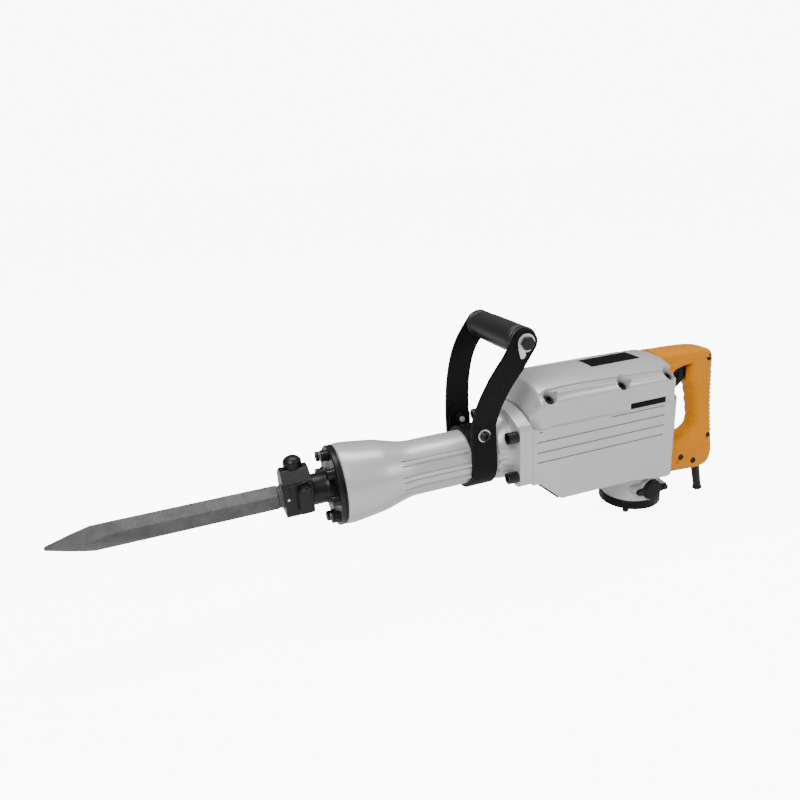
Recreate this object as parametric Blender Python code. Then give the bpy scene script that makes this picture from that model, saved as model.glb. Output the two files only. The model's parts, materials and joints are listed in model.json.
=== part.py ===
"""Electric jackhammer with a moil point, as an assembly of separate solids.

Sizes are in millimetres in the machine's own frame and are scaled once, when a mesh is made.
The frame's X axis is the strike axis, with the tool at -X and the rear handle at +X, and x = 0
is the joint between the nose and the barrel. Z is up and both sides mirror in Y.
"""

import math

import bmesh
import bpy
from mathutils import Matrix, Vector

MM = 0.001
GAP = 0.3

# Overall placing
TIP_X = -351.0
MIDDLE_X = 136.5
GUARD_END_X = 615.6
GUARD_END_Z = -154.0
GUARD_LENGTH = 62.0
GUARD_RADIUS = 7.6
GUARD_TILT = math.radians(12)

# Tool
HEX_FLATS = 30.0
HEX_BORE_FLATS = 30.7
TOOL_END_X = 28.0
SHOULDER_X = -82.6
NECK_RADIUS = 14.3
POINT_TWIST = math.radians(-12)
POINT_GROWTH = [(0, 2.6), (30, 11.0), (60, 17.8), (76, 20.5), (95, 22.1), (128, 24.6), (160, 32)]

# Nose
BLOCK_X = (-73.7, -37.0)
BLOCK_HALF_WIDTH = 24.5
NOSE_NECK_RADIUS = 20.5
FLANGE_RADIUS = 53.4
FLANGE_FRONT_X = -9.0
FLANGE_BOLTS = 8
FLANGE_BOLT_CIRCLE = 43.5
PIN_X, PIN_Z, PIN_RADIUS = -48.0, 12.8, 9.0
PIN_FLAT = 4.9
KNOB_X, KNOB_Y = -55.0, 4.0

# Barrel and what slides in it
BARREL_RADIUS = 38.0
BORE_RADIUS = 32.0
LINER_RADIUS = BORE_RADIUS - GAP
CYLINDER_BORE = 24.0
SLIDING_RADIUS = CYLINDER_BORE - GAP
REAR_PLATE_X = (240.0, 259.7)
BARREL_BOLT_Y = 52.0
BARREL_BOLT_ZS = (37.0, -22.5)

# Side handle
STRAP_X = 196.0
STRAP_WIDTH = 36.0
STRAP_THICKNESS = 5.0
STRAP_INNER = 38.6
GRIP_FLARE = 25.0
CLAMP_Z = 45.0
TAB_TOP_Z = 62.0
GRIP_X, GRIP_Z, GRIP_RADIUS = 243.5, 171.0, 19.3

# Crank case, crank cover and motor
CASE_FRONT_X = 260.3
CASE_REAR_X = 520.0
CASE_HALF_WIDTH = 60.0
SEAM_Z = 43.0
HOOD_X = (262.3, 495.0)
CHAMBER_HALF_WIDTH = 38.0
COVER_SCREWS = [(289.0, 54.0), (407.0, 54.0), (488.0, 50.5)]
COVER_SCREW_SEAT_Z = 73.0
MOTOR_RADIUS = 45.0
MOTOR_BORE = 41.0
MOTOR_END_Z = -120.6
SHAFT_RADIUS = 6.0
BRUSH_Z = -100.0

# Drive train: axes stand along Z on the line y = 0
MODULE = 2.5
CRANK_TEETH, IDLER_PINION_TEETH, IDLER_TEETH, MOTOR_PINION_TEETH = 40, 12, 32, 10
MOTOR_X = 474.5
IDLER_X = MOTOR_X - MODULE * (IDLER_TEETH + MOTOR_PINION_TEETH) / 2
CRANK_X = IDLER_X - MODULE * (CRANK_TEETH + IDLER_PINION_TEETH) / 2
CRANK_THROW = 16.0
CRANK_PIN_RADIUS = 8.0
WRIST_X = 222.0
WRIST_RADIUS = 5.9

# Rear handle
HANDLE_STEPS = 12
HANDLE_STATIONS = [  # (x, z) on the outside, (x, z) on the inside, half width, and squareness: 1 is an ellipse
    ((495.3, 104), (495.3, 44), 22, 0.35),
    ((521, 103), (521.5, 44), 22, 0.38),
    ((527, 102.8), (525, 66), 22, 0.4),
    ((545, 102), (538, 74), 22, 0.42),
    ((572, 100.5), (560, 77), 22, 0.45),
    ((592, 97.5), (560.5, 71), 22, 0.48),
    ((602, 91), (561, 63), 21, 0.5),
    ((607, 78), (561, 54), 19.5, 0.55),
    ((609, 62), (562.5, 46), 18, 0.6),
    ((611, 45), (569, 38), 17, 0.66),
    ((612.5, 27), (574, 27), 16.5, 0.7),
    ((614.5, 3), (579, 4), 16.5, 0.7),
    ((617, -18), (583, -16), 16.5, 0.7),
    ((620, -42), (582, -29), 17, 0.66),
    ((623, -66), (574, -38), 18.5, 0.6),
    ((624, -84), (563, -42), 20, 0.55),
    ((617, -101), (552, -43.5), 20, 0.5),
    ((596, -106), (541, -44), 20.5, 0.46),
    ((560, -103.5), (530, -43), 21, 0.44),
    ((520.3, -101), (520.3, -42), 21, 0.42),
]
TRIGGER_PIVOT = (556.0, 0.0, 83.0)


def material(name, colour, roughness, metallic):
    made = bpy.data.materials.new(name)
    made.use_nodes = True
    shader = made.node_tree.nodes["Principled BSDF"]
    shader.inputs["Base Color"].default_value = (*colour, 1.0)
    shader.inputs["Roughness"].default_value = roughness
    shader.inputs["Metallic"].default_value = metallic
    made.diffuse_color = (*colour, 1.0)
    return made


def add_object(name, bm, origin=(0, 0, 0), look=None, cutter=False):
    """One object from a mesh given in the machine's frame, with its origin at the given point."""
    bmesh.ops.recalc_face_normals(bm, faces=bm.faces)
    bmesh.ops.translate(bm, verts=bm.verts, vec=-Vector(origin))
    bmesh.ops.scale(bm, verts=bm.verts, vec=(MM, MM, MM))
    mesh = bpy.data.meshes.new(name)
    bm.to_mesh(mesh)
    bm.free()
    made = bpy.data.objects.new(name, mesh)
    bpy.context.scene.collection.objects.link(made)
    made.parent = FRAME
    made.location = Vector(origin) * MM
    if cutter:
        made.hide_render = True
        made.display_type = "WIRE"
    else:
        mesh.shade_smooth()
        mesh.set_sharp_from_angle(angle=math.radians(30))
        mesh.materials.append(look)
    return made


def boolean(target, operation, bm, name=None):
    """Adds a Boolean with a hidden helper body, and gives the helper back."""
    helper = add_object(name or f"{target.name}.{operation.lower()}", bm, cutter=True)
    modifier = target.modifiers.new(helper.name, "BOOLEAN")
    modifier.operation = operation
    modifier.object = helper
    return helper


def axis_points(axis, centre, along, radius, angle):
    """A point beside an axis: X, Y and Z run along the machine's directions."""
    a, b = radius * math.cos(angle), radius * math.sin(angle)
    offset = {"X": (along, a, b), "Y": (b, along, a), "Z": (a, b, along)}[axis]
    return Vector(centre) + Vector(offset)


def turned(bm, axis, centre, profile, steps=20, phase=0.0):
    """A body of revolution. The profile's (along, radius) points close on themselves or on the axis."""
    rings = []
    for along, radius in profile:
        if radius == 0:
            rings.append([bm.verts.new(axis_points(axis, centre, along, 0, 0))])
            continue
        angles = [phase + math.tau * i / steps for i in range(steps)]
        rings.append([bm.verts.new(axis_points(axis, centre, along, radius, a)) for a in angles])
    solid = len(rings[0]) == 1 and len(rings[-1]) == 1
    pairs = list(zip(rings, rings[1:]))
    if not solid:
        pairs.append((rings[-1], rings[0]))
    for one, other in pairs:
        for i in range(steps):
            j = (i + 1) % steps
            if len(one) == 1:
                bm.faces.new((one[0], other[i], other[j]))
            elif len(other) == 1:
                bm.faces.new((one[i], one[j], other[0]))
            else:
                bm.faces.new((one[i], one[j], other[j], other[i]))
    return bm


def rod(bm, axis, centre, low, high, radius, steps=20, phase=0.0):
    return turned(bm, axis, centre, [(low, 0), (low, radius), (high, radius), (high, 0)], steps, phase)


def pipe(bm, axis, centre, low, high, outer, inner, steps=20):
    return turned(bm, axis, centre, [(low, outer), (high, outer), (high, inner), (low, inner)], steps)


def loft(bm, sections):
    """A closed body through sections that all have the same number of points."""
    rings = [[bm.verts.new(point) for point in section] for section in sections]
    count = len(rings[0])
    for one, other in zip(rings, rings[1:]):
        for i in range(count):
            j = (i + 1) % count
            bm.faces.new((one[i], one[j], other[j], other[i]))
    bm.faces.new(rings[0])
    bm.faces.new(list(reversed(rings[-1])))
    return bm


def prism(bm, axis, outline, low, high, rounding=0.0, ends=("low", "high"), segments=2):
    """An outline extruded along an axis. Its points are (y, z) for X, (x, z) for Y and (x, y) for Z."""
    def at(u, v, along):
        return {"X": (along, u, v), "Y": (u, along, v), "Z": (u, v, along)}[axis]

    index = "XYZ".index(axis)
    before = set(bm.edges)
    loft(bm, [[at(u, v, along) for u, v in outline] for along in (low, high)])
    if rounding:
        bmesh.ops.recalc_face_normals(bm, faces=bm.faces)
        levels = [{"low": low, "high": high}[end] for end in ends]
        edges = [
            edge
            for edge in set(bm.edges) - before
            if any(all(abs(vert.co[index] - level) < 1e-6 for vert in edge.verts) for level in levels)
        ]
        bmesh.ops.bevel(bm, geom=edges, offset=rounding, segments=segments, profile=0.5, affect="EDGES")
    return bm


def box(bm, low, high, rounding=0.0):
    outline = [(low[0], low[2]), (high[0], low[2]), (high[0], high[2]), (low[0], high[2])]
    return prism(bm, "Y", outline, low[1], high[1], rounding)


def mirrored(points):
    """A half outline, given on the +y side from bottom to top, closed with its mirror image."""
    return list(points) + [(-y, z) for y, z in reversed(points)]


def arc(centre, radius, start, end, count):
    """Points of an arc in a plane, with angles in degrees."""
    steps = [math.radians(start + (end - start) * i / (count - 1)) for i in range(count)]
    return [(centre[0] + radius * math.cos(a), centre[1] + radius * math.sin(a)) for a in steps]


def gear(bm, centre, low, high, teeth, phase=0.0):
    """A spur gear on a Z axis with slim flat-sided teeth, so that a pair runs with backlash."""
    pitch = MODULE * teeth / 2
    step = math.tau / teeth
    corners = [(-0.27, -1.1), (-0.11, 0.6), (0.11, 0.6), (0.27, -1.1)]
    outline = []
    for tooth in range(teeth):
        for share, height in corners:
            angle = (tooth + share) * step + phase
            radius = pitch + height * MODULE
            outline.append((centre[0] + radius * math.cos(angle), centre[1] + radius * math.sin(angle)))
    return prism(bm, "Z", outline, low, high)


def hexagon(flats):
    """A hexagon in (y, z) with flats at the sides and corners at the top and bottom."""
    radius = flats / 2 / math.cos(math.pi / 6)
    return [(radius * math.sin(a), radius * math.cos(a)) for a in (math.tau * i / 6 for i in range(6))]


def make_tool():
    body = bmesh.new()
    prism(body, "X", hexagon(HEX_FLATS), TIP_X, TOOL_END_X, 1.2, ("high",), 1)
    tool = add_object("moil_point", body, look=STEEL)
    diamond = [Vector((math.cos(POINT_TWIST + a), math.sin(POINT_TWIST + a))) for a in
               (math.tau * i / 4 for i in range(4))]
    sections = [[(TIP_X + d, r * p.x, r * p.y) for p in diamond] for d, r in POINT_GROWTH]
    sections.append([(TOOL_END_X + 5, p.y, p.z) for p in (Vector(q) for q in sections[-1])])
    boolean(tool, "INTERSECT", loft(bmesh.new(), sections))
    neck = turned(bmesh.new(), "X", (0, 0, 0),
                  [(SHOULDER_X, 22), (-73, 22), (-76, NECK_RADIUS), (SHOULDER_X + 3, NECK_RADIUS)])
    box(neck, (-60, -22, PIN_Z - PIN_RADIUS - 0.6), (-26, 22, 24))
    boolean(tool, "DIFFERENCE", neck)


def flange_angles():
    return [math.tau * i / FLANGE_BOLTS for i in range(FLANGE_BOLTS)]


def around_flange(angle):
    return (0, FLANGE_BOLT_CIRCLE * math.cos(angle), FLANGE_BOLT_CIRCLE * math.sin(angle))


def make_nose():
    half = [(20, -22), (BLOCK_HALF_WIDTH, -18), (BLOCK_HALF_WIDTH, 25), (19, 32), (6, 37.5)]
    block = prism(bmesh.new(), "X", mirrored(half), *BLOCK_X, rounding=1.6)
    nose = add_object("front_cover", block, look=BLACK_IRON)
    crossing = rod(bmesh.new(), "Y", (PIN_X, 0, PIN_Z), -40, 40, PIN_RADIUS + GAP, 26, 0.06)
    boolean(nose, "DIFFERENCE", crossing, "front_cover.pin_hole")
    plunger = rod(bmesh.new(), "Z", (KNOB_X, KNOB_Y, 0), 14, 60, 4.3, 14, 0.1)
    boolean(nose, "DIFFERENCE", plunger, "front_cover.plunger_hole")
    collar = [(-38.4, 0), (-38.4, NOSE_NECK_RADIUS), (-17, NOSE_NECK_RADIUS), (FLANGE_FRONT_X - 2, 27),
              (FLANGE_FRONT_X, 34), (FLANGE_FRONT_X, FLANGE_RADIUS - 2), (FLANGE_FRONT_X + 2, FLANGE_RADIUS),
              (-2.5, FLANGE_RADIUS), (-1.5, FLANGE_RADIUS - 1.5), (0, FLANGE_RADIUS - 1.5), (0, 0)]
    boolean(nose, "UNION", turned(bmesh.new(), "X", (0, 0, 0), collar, 32))
    bores = prism(bmesh.new(), "X", hexagon(HEX_BORE_FLATS), -80, 5)
    for angle in flange_angles():
        rod(bores, "X", around_flange(angle), FLANGE_FRONT_X - 5, 5, 4.4, 8)
    boolean(nose, "DIFFERENCE", bores, "front_cover.bores")


def make_stop_lever():
    """The retaining pin with its half-moon waist, and the lever on its near end."""
    pivot = (PIN_X, 0, PIN_Z)
    profile = [(-35, 0), (-35, 6.5), (-33.5, 9.6), (-25.2, 9.6), (-25.2, PIN_RADIUS), (24, PIN_RADIUS), (24, 0)]
    body = turned(bmesh.new(), "Y", pivot, profile, 28)
    lever = add_object("stop_lever", body, pivot, BLACK_IRON)
    arm = [(PIN_X + x, z) for x, z in ((-9.3, 12), (-9.3, -12), (-6, -15.5), (6, -15.5), (9.3, -12), (9.3, 12))]
    boolean(lever, "UNION", prism(bmesh.new(), "Y", arm, -32, -25.6, 1.2, segments=1))
    waist = box(bmesh.new(), (PIN_X - 12, -16.5, PIN_Z - PIN_FLAT), (PIN_X + 12, 16.5, PIN_Z + 12))
    boolean(lever, "DIFFERENCE", waist)


def make_knob():
    profile = [(24, 0), (24, 4), (39, 4), (39, 10.5), (41, 12), (47, 12), (50.5, 10), (52.5, 6), (53, 0)]
    body = turned(bmesh.new(), "Z", (KNOB_X, KNOB_Y, 0), profile, 24)
    add_object("lock_knob", body, (KNOB_X, KNOB_Y, 38), BLACK_IRON)


def make_flange_bolts():
    seat = FLANGE_FRONT_X - GAP
    profile = [(14, 0), (14, 3.8), (seat, 3.8), (seat, 7.6), (seat - 2.4, 7.6), (seat - 2.4, 6.5),
               (seat - 11.5, 6.5), (seat - 11.5, 3.4), (seat - 7, 3.4), (seat - 7, 0)]
    for number, angle in enumerate(flange_angles(), 1):
        body = turned(bmesh.new(), "X", around_flange(angle), profile, 10)
        add_object(f"flange_bolt_{number}", body, look=BLACK_STEEL)


def barrel_bolt_places():
    return [(0, side * BARREL_BOLT_Y, z) for side in (-1, 1) for z in BARREL_BOLT_ZS]


def make_barrel():
    """The bell, the tube, the lobe behind the side handle and the rear plate, in one casting."""
    outer = [(GAP, 0), (GAP, 51), (2, 53.5), (12, 54), (30, 52), (55, 49), (70, 45), (85, 40.5), (95, 38.6),
             (105, BARREL_RADIUS), (250, BARREL_RADIUS), (250, 0)]
    barrel = add_object("barrel", turned(bmesh.new(), "X", (0, 0, 0), outer, 32), look=SILVER)
    stations = [(215.5, 37.0, 37.0, 37.0), (221, 41.5, 46, 39.5), (230, 44, 52, 41), (238, 45, 56, 41),
                (245, 45, 56, 36)]
    sections = []
    for x, width, top, bottom in stations:
        section = []
        for a in (math.tau * i / 24 for i in range(24)):
            height = top if math.sin(a) > 0 else bottom
            section.append((x, width * math.cos(a), height * math.sin(a)))
        sections.append(section)
    boolean(barrel, "UNION", loft(bmesh.new(), sections), "barrel.lobe")
    half = [(54, -38), (60, -34), (60, 46), (55, 51)] + arc((0, -38), 103.5, 59.5, 84, 6)
    plate = prism(bmesh.new(), "X", mirrored(half), *REAR_PLATE_X, rounding=1.2, ends=("low",), segments=1)
    boolean(barrel, "UNION", plate, "barrel.plate")
    bores = rod(bmesh.new(), "X", (0, 0, 0), -5, 270, BORE_RADIUS, 28)
    for angle in flange_angles():
        rod(bores, "X", around_flange(angle), -5, 16, 4.4, 8)
    for place in barrel_bolt_places():
        step = [(215, 0), (215, 9.5), (REAR_PLATE_X[0], 9.5), (REAR_PLATE_X[0], 5.4), (270, 5.4), (270, 0)]
        turned(bores, "X", place, step, 12)
    boolean(barrel, "DIFFERENCE", bores, "barrel.bores")


def make_barrel_bolts():
    seat = REAR_PLATE_X[0] - GAP
    profile = [(279, 0), (279, 5), (seat, 5), (seat, 8), (seat - 15, 8), (seat - 15, 4.6), (seat - 9, 4.6),
               (seat - 9, 0)]
    for number, place in enumerate(barrel_bolt_places(), 1):
        add_object(f"barrel_bolt_{number}", turned(bmesh.new(), "X", place, profile, 16), look=BLACK_STEEL)


def make_strike_line():
    """Everything that lies inside the barrel, in line with the tool."""
    sleeve = [(GAP, LINER_RADIUS), (80, LINER_RADIUS), (80, 18), (GAP, 18)]
    body = add_object("tool_sleeve", turned(bmesh.new(), "X", (0, 0, 0), sleeve, 24), look=STEEL)
    bolt = [(31, 0), (31, 11), (37, 12), (39, 17.5), (62, 17.5), (64, 12), (98, 12), (100, 10), (100, 0)]
    add_object("impact_bolt", turned(bmesh.new(), "X", (0, 0, 0), bolt), (31, 0, 0), STEEL)
    damper = pipe(bmesh.new(), "X", (0, 0, 0), 80 + GAP, 90, LINER_RADIUS, 13)
    add_object("damper_ring", damper, look=RUBBER)
    liner = pipe(bmesh.new(), "X", (0, 0, 0), 90 + GAP, 238, LINER_RADIUS, CYLINDER_BORE, 24)
    add_object("cylinder_liner", liner, look=STEEL)
    striker = [(112, 0), (112, 12), (114, 14), (120, 14), (122, SLIDING_RADIUS), (128, SLIDING_RADIUS),
               (128, 22.2), (132, 22.2), (132, SLIDING_RADIUS), (156, SLIDING_RADIUS), (158, 21), (158, 0)]
    add_object("striker", turned(bmesh.new(), "X", (0, 0, 0), striker), (112, 0, 0), STEEL)


def make_piston():
    crown = [(194, 0), (194, 22.5), (195, SLIDING_RADIUS), (199, SLIDING_RADIUS), (199, 22), (203, 22),
             (203, SLIDING_RADIUS), (238, SLIDING_RADIUS), (238, 0)]
    piston = add_object("piston", turned(bmesh.new(), "X", (0, 0, 0), crown, 24), (WRIST_X, 0, 0), ALUMINIUM)
    slot = box(bmesh.new(), (205, -17, -11), (245, 17, 11))
    boolean(piston, "DIFFERENCE", slot, "piston.slot")
    bore = rod(bmesh.new(), "Z", (WRIST_X, 0, 0), -30, 30, WRIST_RADIUS + GAP, 16)
    boolean(piston, "DIFFERENCE", bore, "piston.bore")
    pin = rod(bmesh.new(), "Z", (WRIST_X, 0, 0), -21.5, 21.5, WRIST_RADIUS, 16)
    add_object("piston_pin", pin, (WRIST_X, 0, 0), STEEL)


def make_connecting_rod():
    """Its small end keeps 2 mm of clearance, because the mechanism is opened at the piston pin."""
    big_end = (CRANK_X, -CRANK_THROW, 0)
    rod_body = add_object("connecting_rod", pipe(bmesh.new(), "Z", big_end, -9, 9, 15, 8.4, 28), big_end, STEEL)
    small_end = Vector((WRIST_X, 0, 0))
    reach = Vector(big_end) - small_end
    side = Vector((-reach.y, reach.x, 0)).normalized() * 6.5
    inner, outer = small_end + reach * 0.075, Vector(big_end) - reach * 0.09
    outline = [(p.x, p.y) for p in (inner + side, outer + side, outer - side, inner - side)]
    shank = prism(bmesh.new(), "Z", outline, -6, 6)
    boolean(rod_body, "UNION", shank, "connecting_rod.shank")
    eye = pipe(bmesh.new(), "Z", small_end, -8, 8, 13, WRIST_RADIUS + 2, 24)
    boolean(rod_body, "UNION", eye, "connecting_rod.eye")


def make_drive_train():
    crank_axis = (CRANK_X, 0, 0)
    web = [(14, 0), (14, 27), (26, 27), (26, 15), (73, 15), (74, 14), (74, 0)]
    crank = add_object("crankshaft", turned(bmesh.new(), "Z", crank_axis, web, 24), crank_axis, STEEL)
    pin = rod(bmesh.new(), "Z", (CRANK_X, -CRANK_THROW, 0), -11, 16, CRANK_PIN_RADIUS, 20)
    boolean(crank, "UNION", pin, "crankshaft.pin")
    wheel = add_object("crank_gear", gear(bmesh.new(), crank_axis, 60, 71, CRANK_TEETH), crank_axis, STEEL)
    boolean(wheel, "DIFFERENCE", rod(bmesh.new(), "Z", crank_axis, 50, 80, 15 + GAP, 24))

    idler_axis = (IDLER_X, 0, 0)
    half_tooth = math.pi / IDLER_PINION_TEETH
    shaft = rod(bmesh.new(), "Z", idler_axis, 45, 91, 6.5, 20)
    idler = add_object("idler_gear", shaft, idler_axis, STEEL)
    pinion = gear(bmesh.new(), idler_axis, 58.5, 77, IDLER_PINION_TEETH, half_tooth)
    boolean(idler, "UNION", pinion, "idler_gear.pinion")
    boolean(idler, "UNION", gear(bmesh.new(), idler_axis, 76, 86, IDLER_TEETH), "idler_gear.wheel")

    bearing = pipe(bmesh.new(), "Z", crank_axis, 44, 56, 26, 15 + GAP, 24)
    add_object("crank_bearing", bearing, look=STEEL)
    corners = [(300, -43.5), (440, -43.5), (484, -38), (484, 38), (440, 43.5), (300, 43.5)]
    plate = prism(bmesh.new(), "Z", corners, SEAM_Z + GAP, 56, 1.5, ("high",), 1)
    cover = add_object("inner_cover", plate, look=ALUMINIUM)
    holes = rod(bmesh.new(), "Z", crank_axis, 40, 60, 26 + GAP, 24)
    rod(holes, "Z", idler_axis, 40, 60, 6.5 + GAP, 20)
    rod(holes, "Z", (MOTOR_X, 0, 0), 40, 60, SHAFT_RADIUS + 1, 16)
    boolean(cover, "DIFFERENCE", holes)


def eared_outline(radius, reach, half_height):
    """A disc with a screw ear at each side, round the brush holder's axis."""
    first = math.degrees(math.asin(half_height / radius)) + 4
    lower = arc((0, 0), radius, first - 180, -first, 12)
    ear = arc((reach - half_height, 0), half_height, -80, 80, 6)
    right = lower + ear
    points = right + [(-x, -z) for x, z in right]
    return [(MOTOR_X + x, BRUSH_Z + z) for x, z in points]


def make_motor():
    axis = (MOTOR_X, 0, 0)
    turning = [(-128, 0), (-128, SHAFT_RADIUS), (-110, SHAFT_RADIUS), (-110, 15), (-86, 15),
               (-86, SHAFT_RADIUS), (-72, SHAFT_RADIUS), (-72, 24), (-20, 24), (-20, SHAFT_RADIUS),
               (76, SHAFT_RADIUS), (76, 0)]
    armature = add_object("armature", turned(bmesh.new(), "Z", axis, turning, 16), axis, STEEL)
    pinion = gear(bmesh.new(), axis, 75, 88, MOTOR_PINION_TEETH, math.pi / MOTOR_PINION_TEETH)
    boolean(armature, "UNION", pinion, "armature.pinion")

    fan = add_object("cooling_fan", pipe(bmesh.new(), "Z", axis, 4, 8, 36, SHAFT_RADIUS + GAP), axis, PLASTIC)
    blades = bmesh.new()
    for number in range(8):
        start = set(blades.verts)
        box(blades, (MOTOR_X + 12, -1.5, -10), (MOTOR_X + 35, 1.5, 5))
        fresh = [vert for vert in blades.verts if vert not in start]
        turn = Matrix.Rotation(math.tau * number / 8, 3, "Z")
        bmesh.ops.rotate(blades, verts=fresh, cent=Vector(axis), matrix=turn)
    boolean(fan, "UNION", blades, "cooling_fan.blades")
    stator = pipe(bmesh.new(), "Z", axis, -76, -16, MOTOR_BORE - GAP - 0.3, 25.2, 24)
    add_object("stator", stator, look=STEEL)
    upper = pipe(bmesh.new(), "Z", axis, 24, 38, 16, SHAFT_RADIUS + GAP)
    add_object("upper_bearing", upper, look=STEEL)
    lower = pipe(bmesh.new(), "Z", axis, -130, -120, 11, SHAFT_RADIUS + GAP)
    add_object("lower_bearing", lower, look=STEEL)
    cover = [(-133.5, 0), (-133.5, MOTOR_RADIUS), (-132, 46.8), (-122, 46.8), (MOTOR_END_Z - GAP, 46),
             (MOTOR_END_Z - GAP, 16), (-118, 16), (-118, 11.3), (-130.5, 11.3), (-130.5, 0)]
    add_object("motor_cover", turned(bmesh.new(), "Z", axis, cover, 32), look=PLASTIC)

    outline = eared_outline(16.2, 28, 4.8)
    for name, side in (("left", -1), ("right", 1)):
        low, high = sorted((side * 49.3, side * 54.5))
        outer = ("low",) if side < 0 else ("high",)
        cap = prism(bmesh.new(), "Y", outline, low, high, 1.2, outer, 1)
        add_object(f"brush_cap_{name}", cap, look=PLASTIC)
        low, high = sorted((side * 15.5, side * 46))
        brush = box(bmesh.new(), (MOTOR_X - 4, low, BRUSH_Z - 4), (MOTOR_X + 4, high, BRUSH_Z + 4))
        add_object(f"carbon_brush_{name}", brush, look=RUBBER)


def make_case():
    side_view = [(CASE_FRONT_X, -38), (271, -38), (307, -69), (430, -70), (CASE_REAR_X, -82),
                 (CASE_REAR_X, SEAM_Z), (CASE_FRONT_X, SEAM_Z)]
    body = prism(bmesh.new(), "Y", side_view, -CASE_HALF_WIDTH, CASE_HALF_WIDTH, 2.5)
    case = add_object("crank_case", body, look=SILVER)
    half_plan = [(250, -64), (476, -64), (496, -58), (507, -49), (515, -36), (519, -20)]
    plan = half_plan + [(x, -y) for x, y in reversed(half_plan)]
    boolean(case, "INTERSECT", prism(bmesh.new(), "Z", plan, -100, 60), "crank_case.plan")
    motor = rod(bmesh.new(), "Z", (MOTOR_X, 0, 0), MOTOR_END_Z, -50, MOTOR_RADIUS, 36)
    boolean(case, "UNION", motor, "crank_case.motor")
    bosses = prism(bmesh.new(), "Y", eared_outline(18.5, 30, 6.5), -49, 49)
    boolean(case, "UNION", bosses, "crank_case.bosses")

    floor = [(268, -31), (273, -31), (307, -60), (421, -60), (421, 50), (268, 50)]
    hollow = prism(bmesh.new(), "Y", floor, -CHAMBER_HALF_WIDTH, CHAMBER_HALF_WIDTH)
    boolean(case, "DIFFERENCE", hollow, "crank_case.chamber")
    throat = rod(bmesh.new(), "X", (0, 0, 0), 250, 275, BORE_RADIUS, 24)
    boolean(case, "DIFFERENCE", throat, "crank_case.throat")
    bore = [(-130, 0), (-130, MOTOR_BORE), (18, MOTOR_BORE), (18, 16.3), (38.5, 16.3), (38.5, 8), (50, 8), (50, 0)]
    boolean(case, "DIFFERENCE", turned(bmesh.new(), "Z", (MOTOR_X, 0, 0), bore, 28), "crank_case.motor_bore")
    brushes = bmesh.new()
    for side in (-1, 1):
        rod(brushes, "Y", (MOTOR_X, 0, BRUSH_Z), *sorted((side * 25, side * 60)), 7, 14, 0.2)
    boolean(case, "DIFFERENCE", brushes, "crank_case.brush_holes")
    holes = bmesh.new()
    for place in barrel_bolt_places():
        rod(holes, "X", place, 250, 281, 5.4, 12, 0.1)
    for x, y in COVER_SCREWS:
        for side in (-1, 1):
            rod(holes, "Z", (x, side * y, 0), 24, 60, 3.4, 10, 0.1)
    boolean(case, "DIFFERENCE", holes, "crank_case.holes")


def hood_section(x, lift, inset):
    """The crank cover's cross-section: upright sides, a sloping shoulder and a crowned top."""
    half = [(59.5, 0), (59.5, 33), (57, 42), (51, 48), (41, 52.5), (28, 57), (14, 59.5), (4, 60.2)]
    half = [(y - inset, z - (inset if z > 20 else 0)) for y, z in half[:-1]] + [(4, half[-1][1] - inset)]
    return [(x, y, SEAM_Z + GAP + z * lift) for y, z in mirrored(half)]


def make_hood():
    stations = [(HOOD_X[0], 0.38), (266, 0.55), (271, 0.74), (276, 0.89), (282, 0.965), (292, 0.99),
                (310, 1.0), (485, 1.0), (HOOD_X[1], 0.985)]
    hood = add_object("crank_cover", loft(bmesh.new(), [hood_section(x, k, 0) for x, k in stations]), look=SILVER)
    inner = [hood_section(x + 6, k, 5.0) for x, k in stations[:-2]] + [hood_section(491, 0.985, 5.0)]
    inner = [[(x, y, z if z > SEAM_Z + 1 else SEAM_Z - 3) for x, y, z in section] for section in inner]
    hollow = boolean(hood, "DIFFERENCE", loft(bmesh.new(), inner), "crank_cover.hollow")
    posts = bmesh.new()
    pockets = bmesh.new()
    seat = COVER_SCREW_SEAT_Z
    pocket = [(30, 0), (30, 3.4), (seat, 3.4), (seat, 8.5), (120, 8.5), (120, 0)]
    for x, y in COVER_SCREWS:
        for side in (-1, 1):
            rod(posts, "Z", (x, side * y, 0), 30, 120, 10, 16)
            turned(pockets, "Z", (x, side * y, 0), pocket, 16)
    boolean(hollow, "DIFFERENCE", posts, "crank_cover.posts")
    boolean(hood, "DIFFERENCE", pockets, "crank_cover.pockets")
    recess = box(bmesh.new(), (381.5, -16.8, 101.6), (464.5, 16.8, 120))
    boolean(hood, "DIFFERENCE", recess, "crank_cover.recess")
    plate = box(bmesh.new(), (382, -16.3, 101.9), (464, 16.3, 103.6))
    add_object("top_plate", plate, look=BLACK_STEEL)

    seat += GAP
    profile = [(26, 0), (26, 3), (seat, 3), (seat, 6), (seat + 7, 6), (seat + 7, 3.2), (seat + 4, 3.2), (seat + 4, 0)]
    number = 0
    for side in (-1, 1):
        for x, y in COVER_SCREWS:
            number += 1
            body = turned(bmesh.new(), "Z", (x, side * y, 0), profile, 12)
            add_object(f"cover_screw_{number}", body, look=BLACK_STEEL)


def strap_path(side):
    """Stations up one arm: centre in (x, z), the inner face's y and the width."""
    line = [(196, 0, 0), (195.5, 30, 0), (195.5, 56, 0), (198, 74, 4), (203, 96, 10.5), (213, 123, 19),
            (226, 146, GRIP_FLARE), (GRIP_X, GRIP_Z, GRIP_FLARE)]
    return [(x, z, side * (STRAP_INNER + flare)) for x, z, flare in line]


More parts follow.
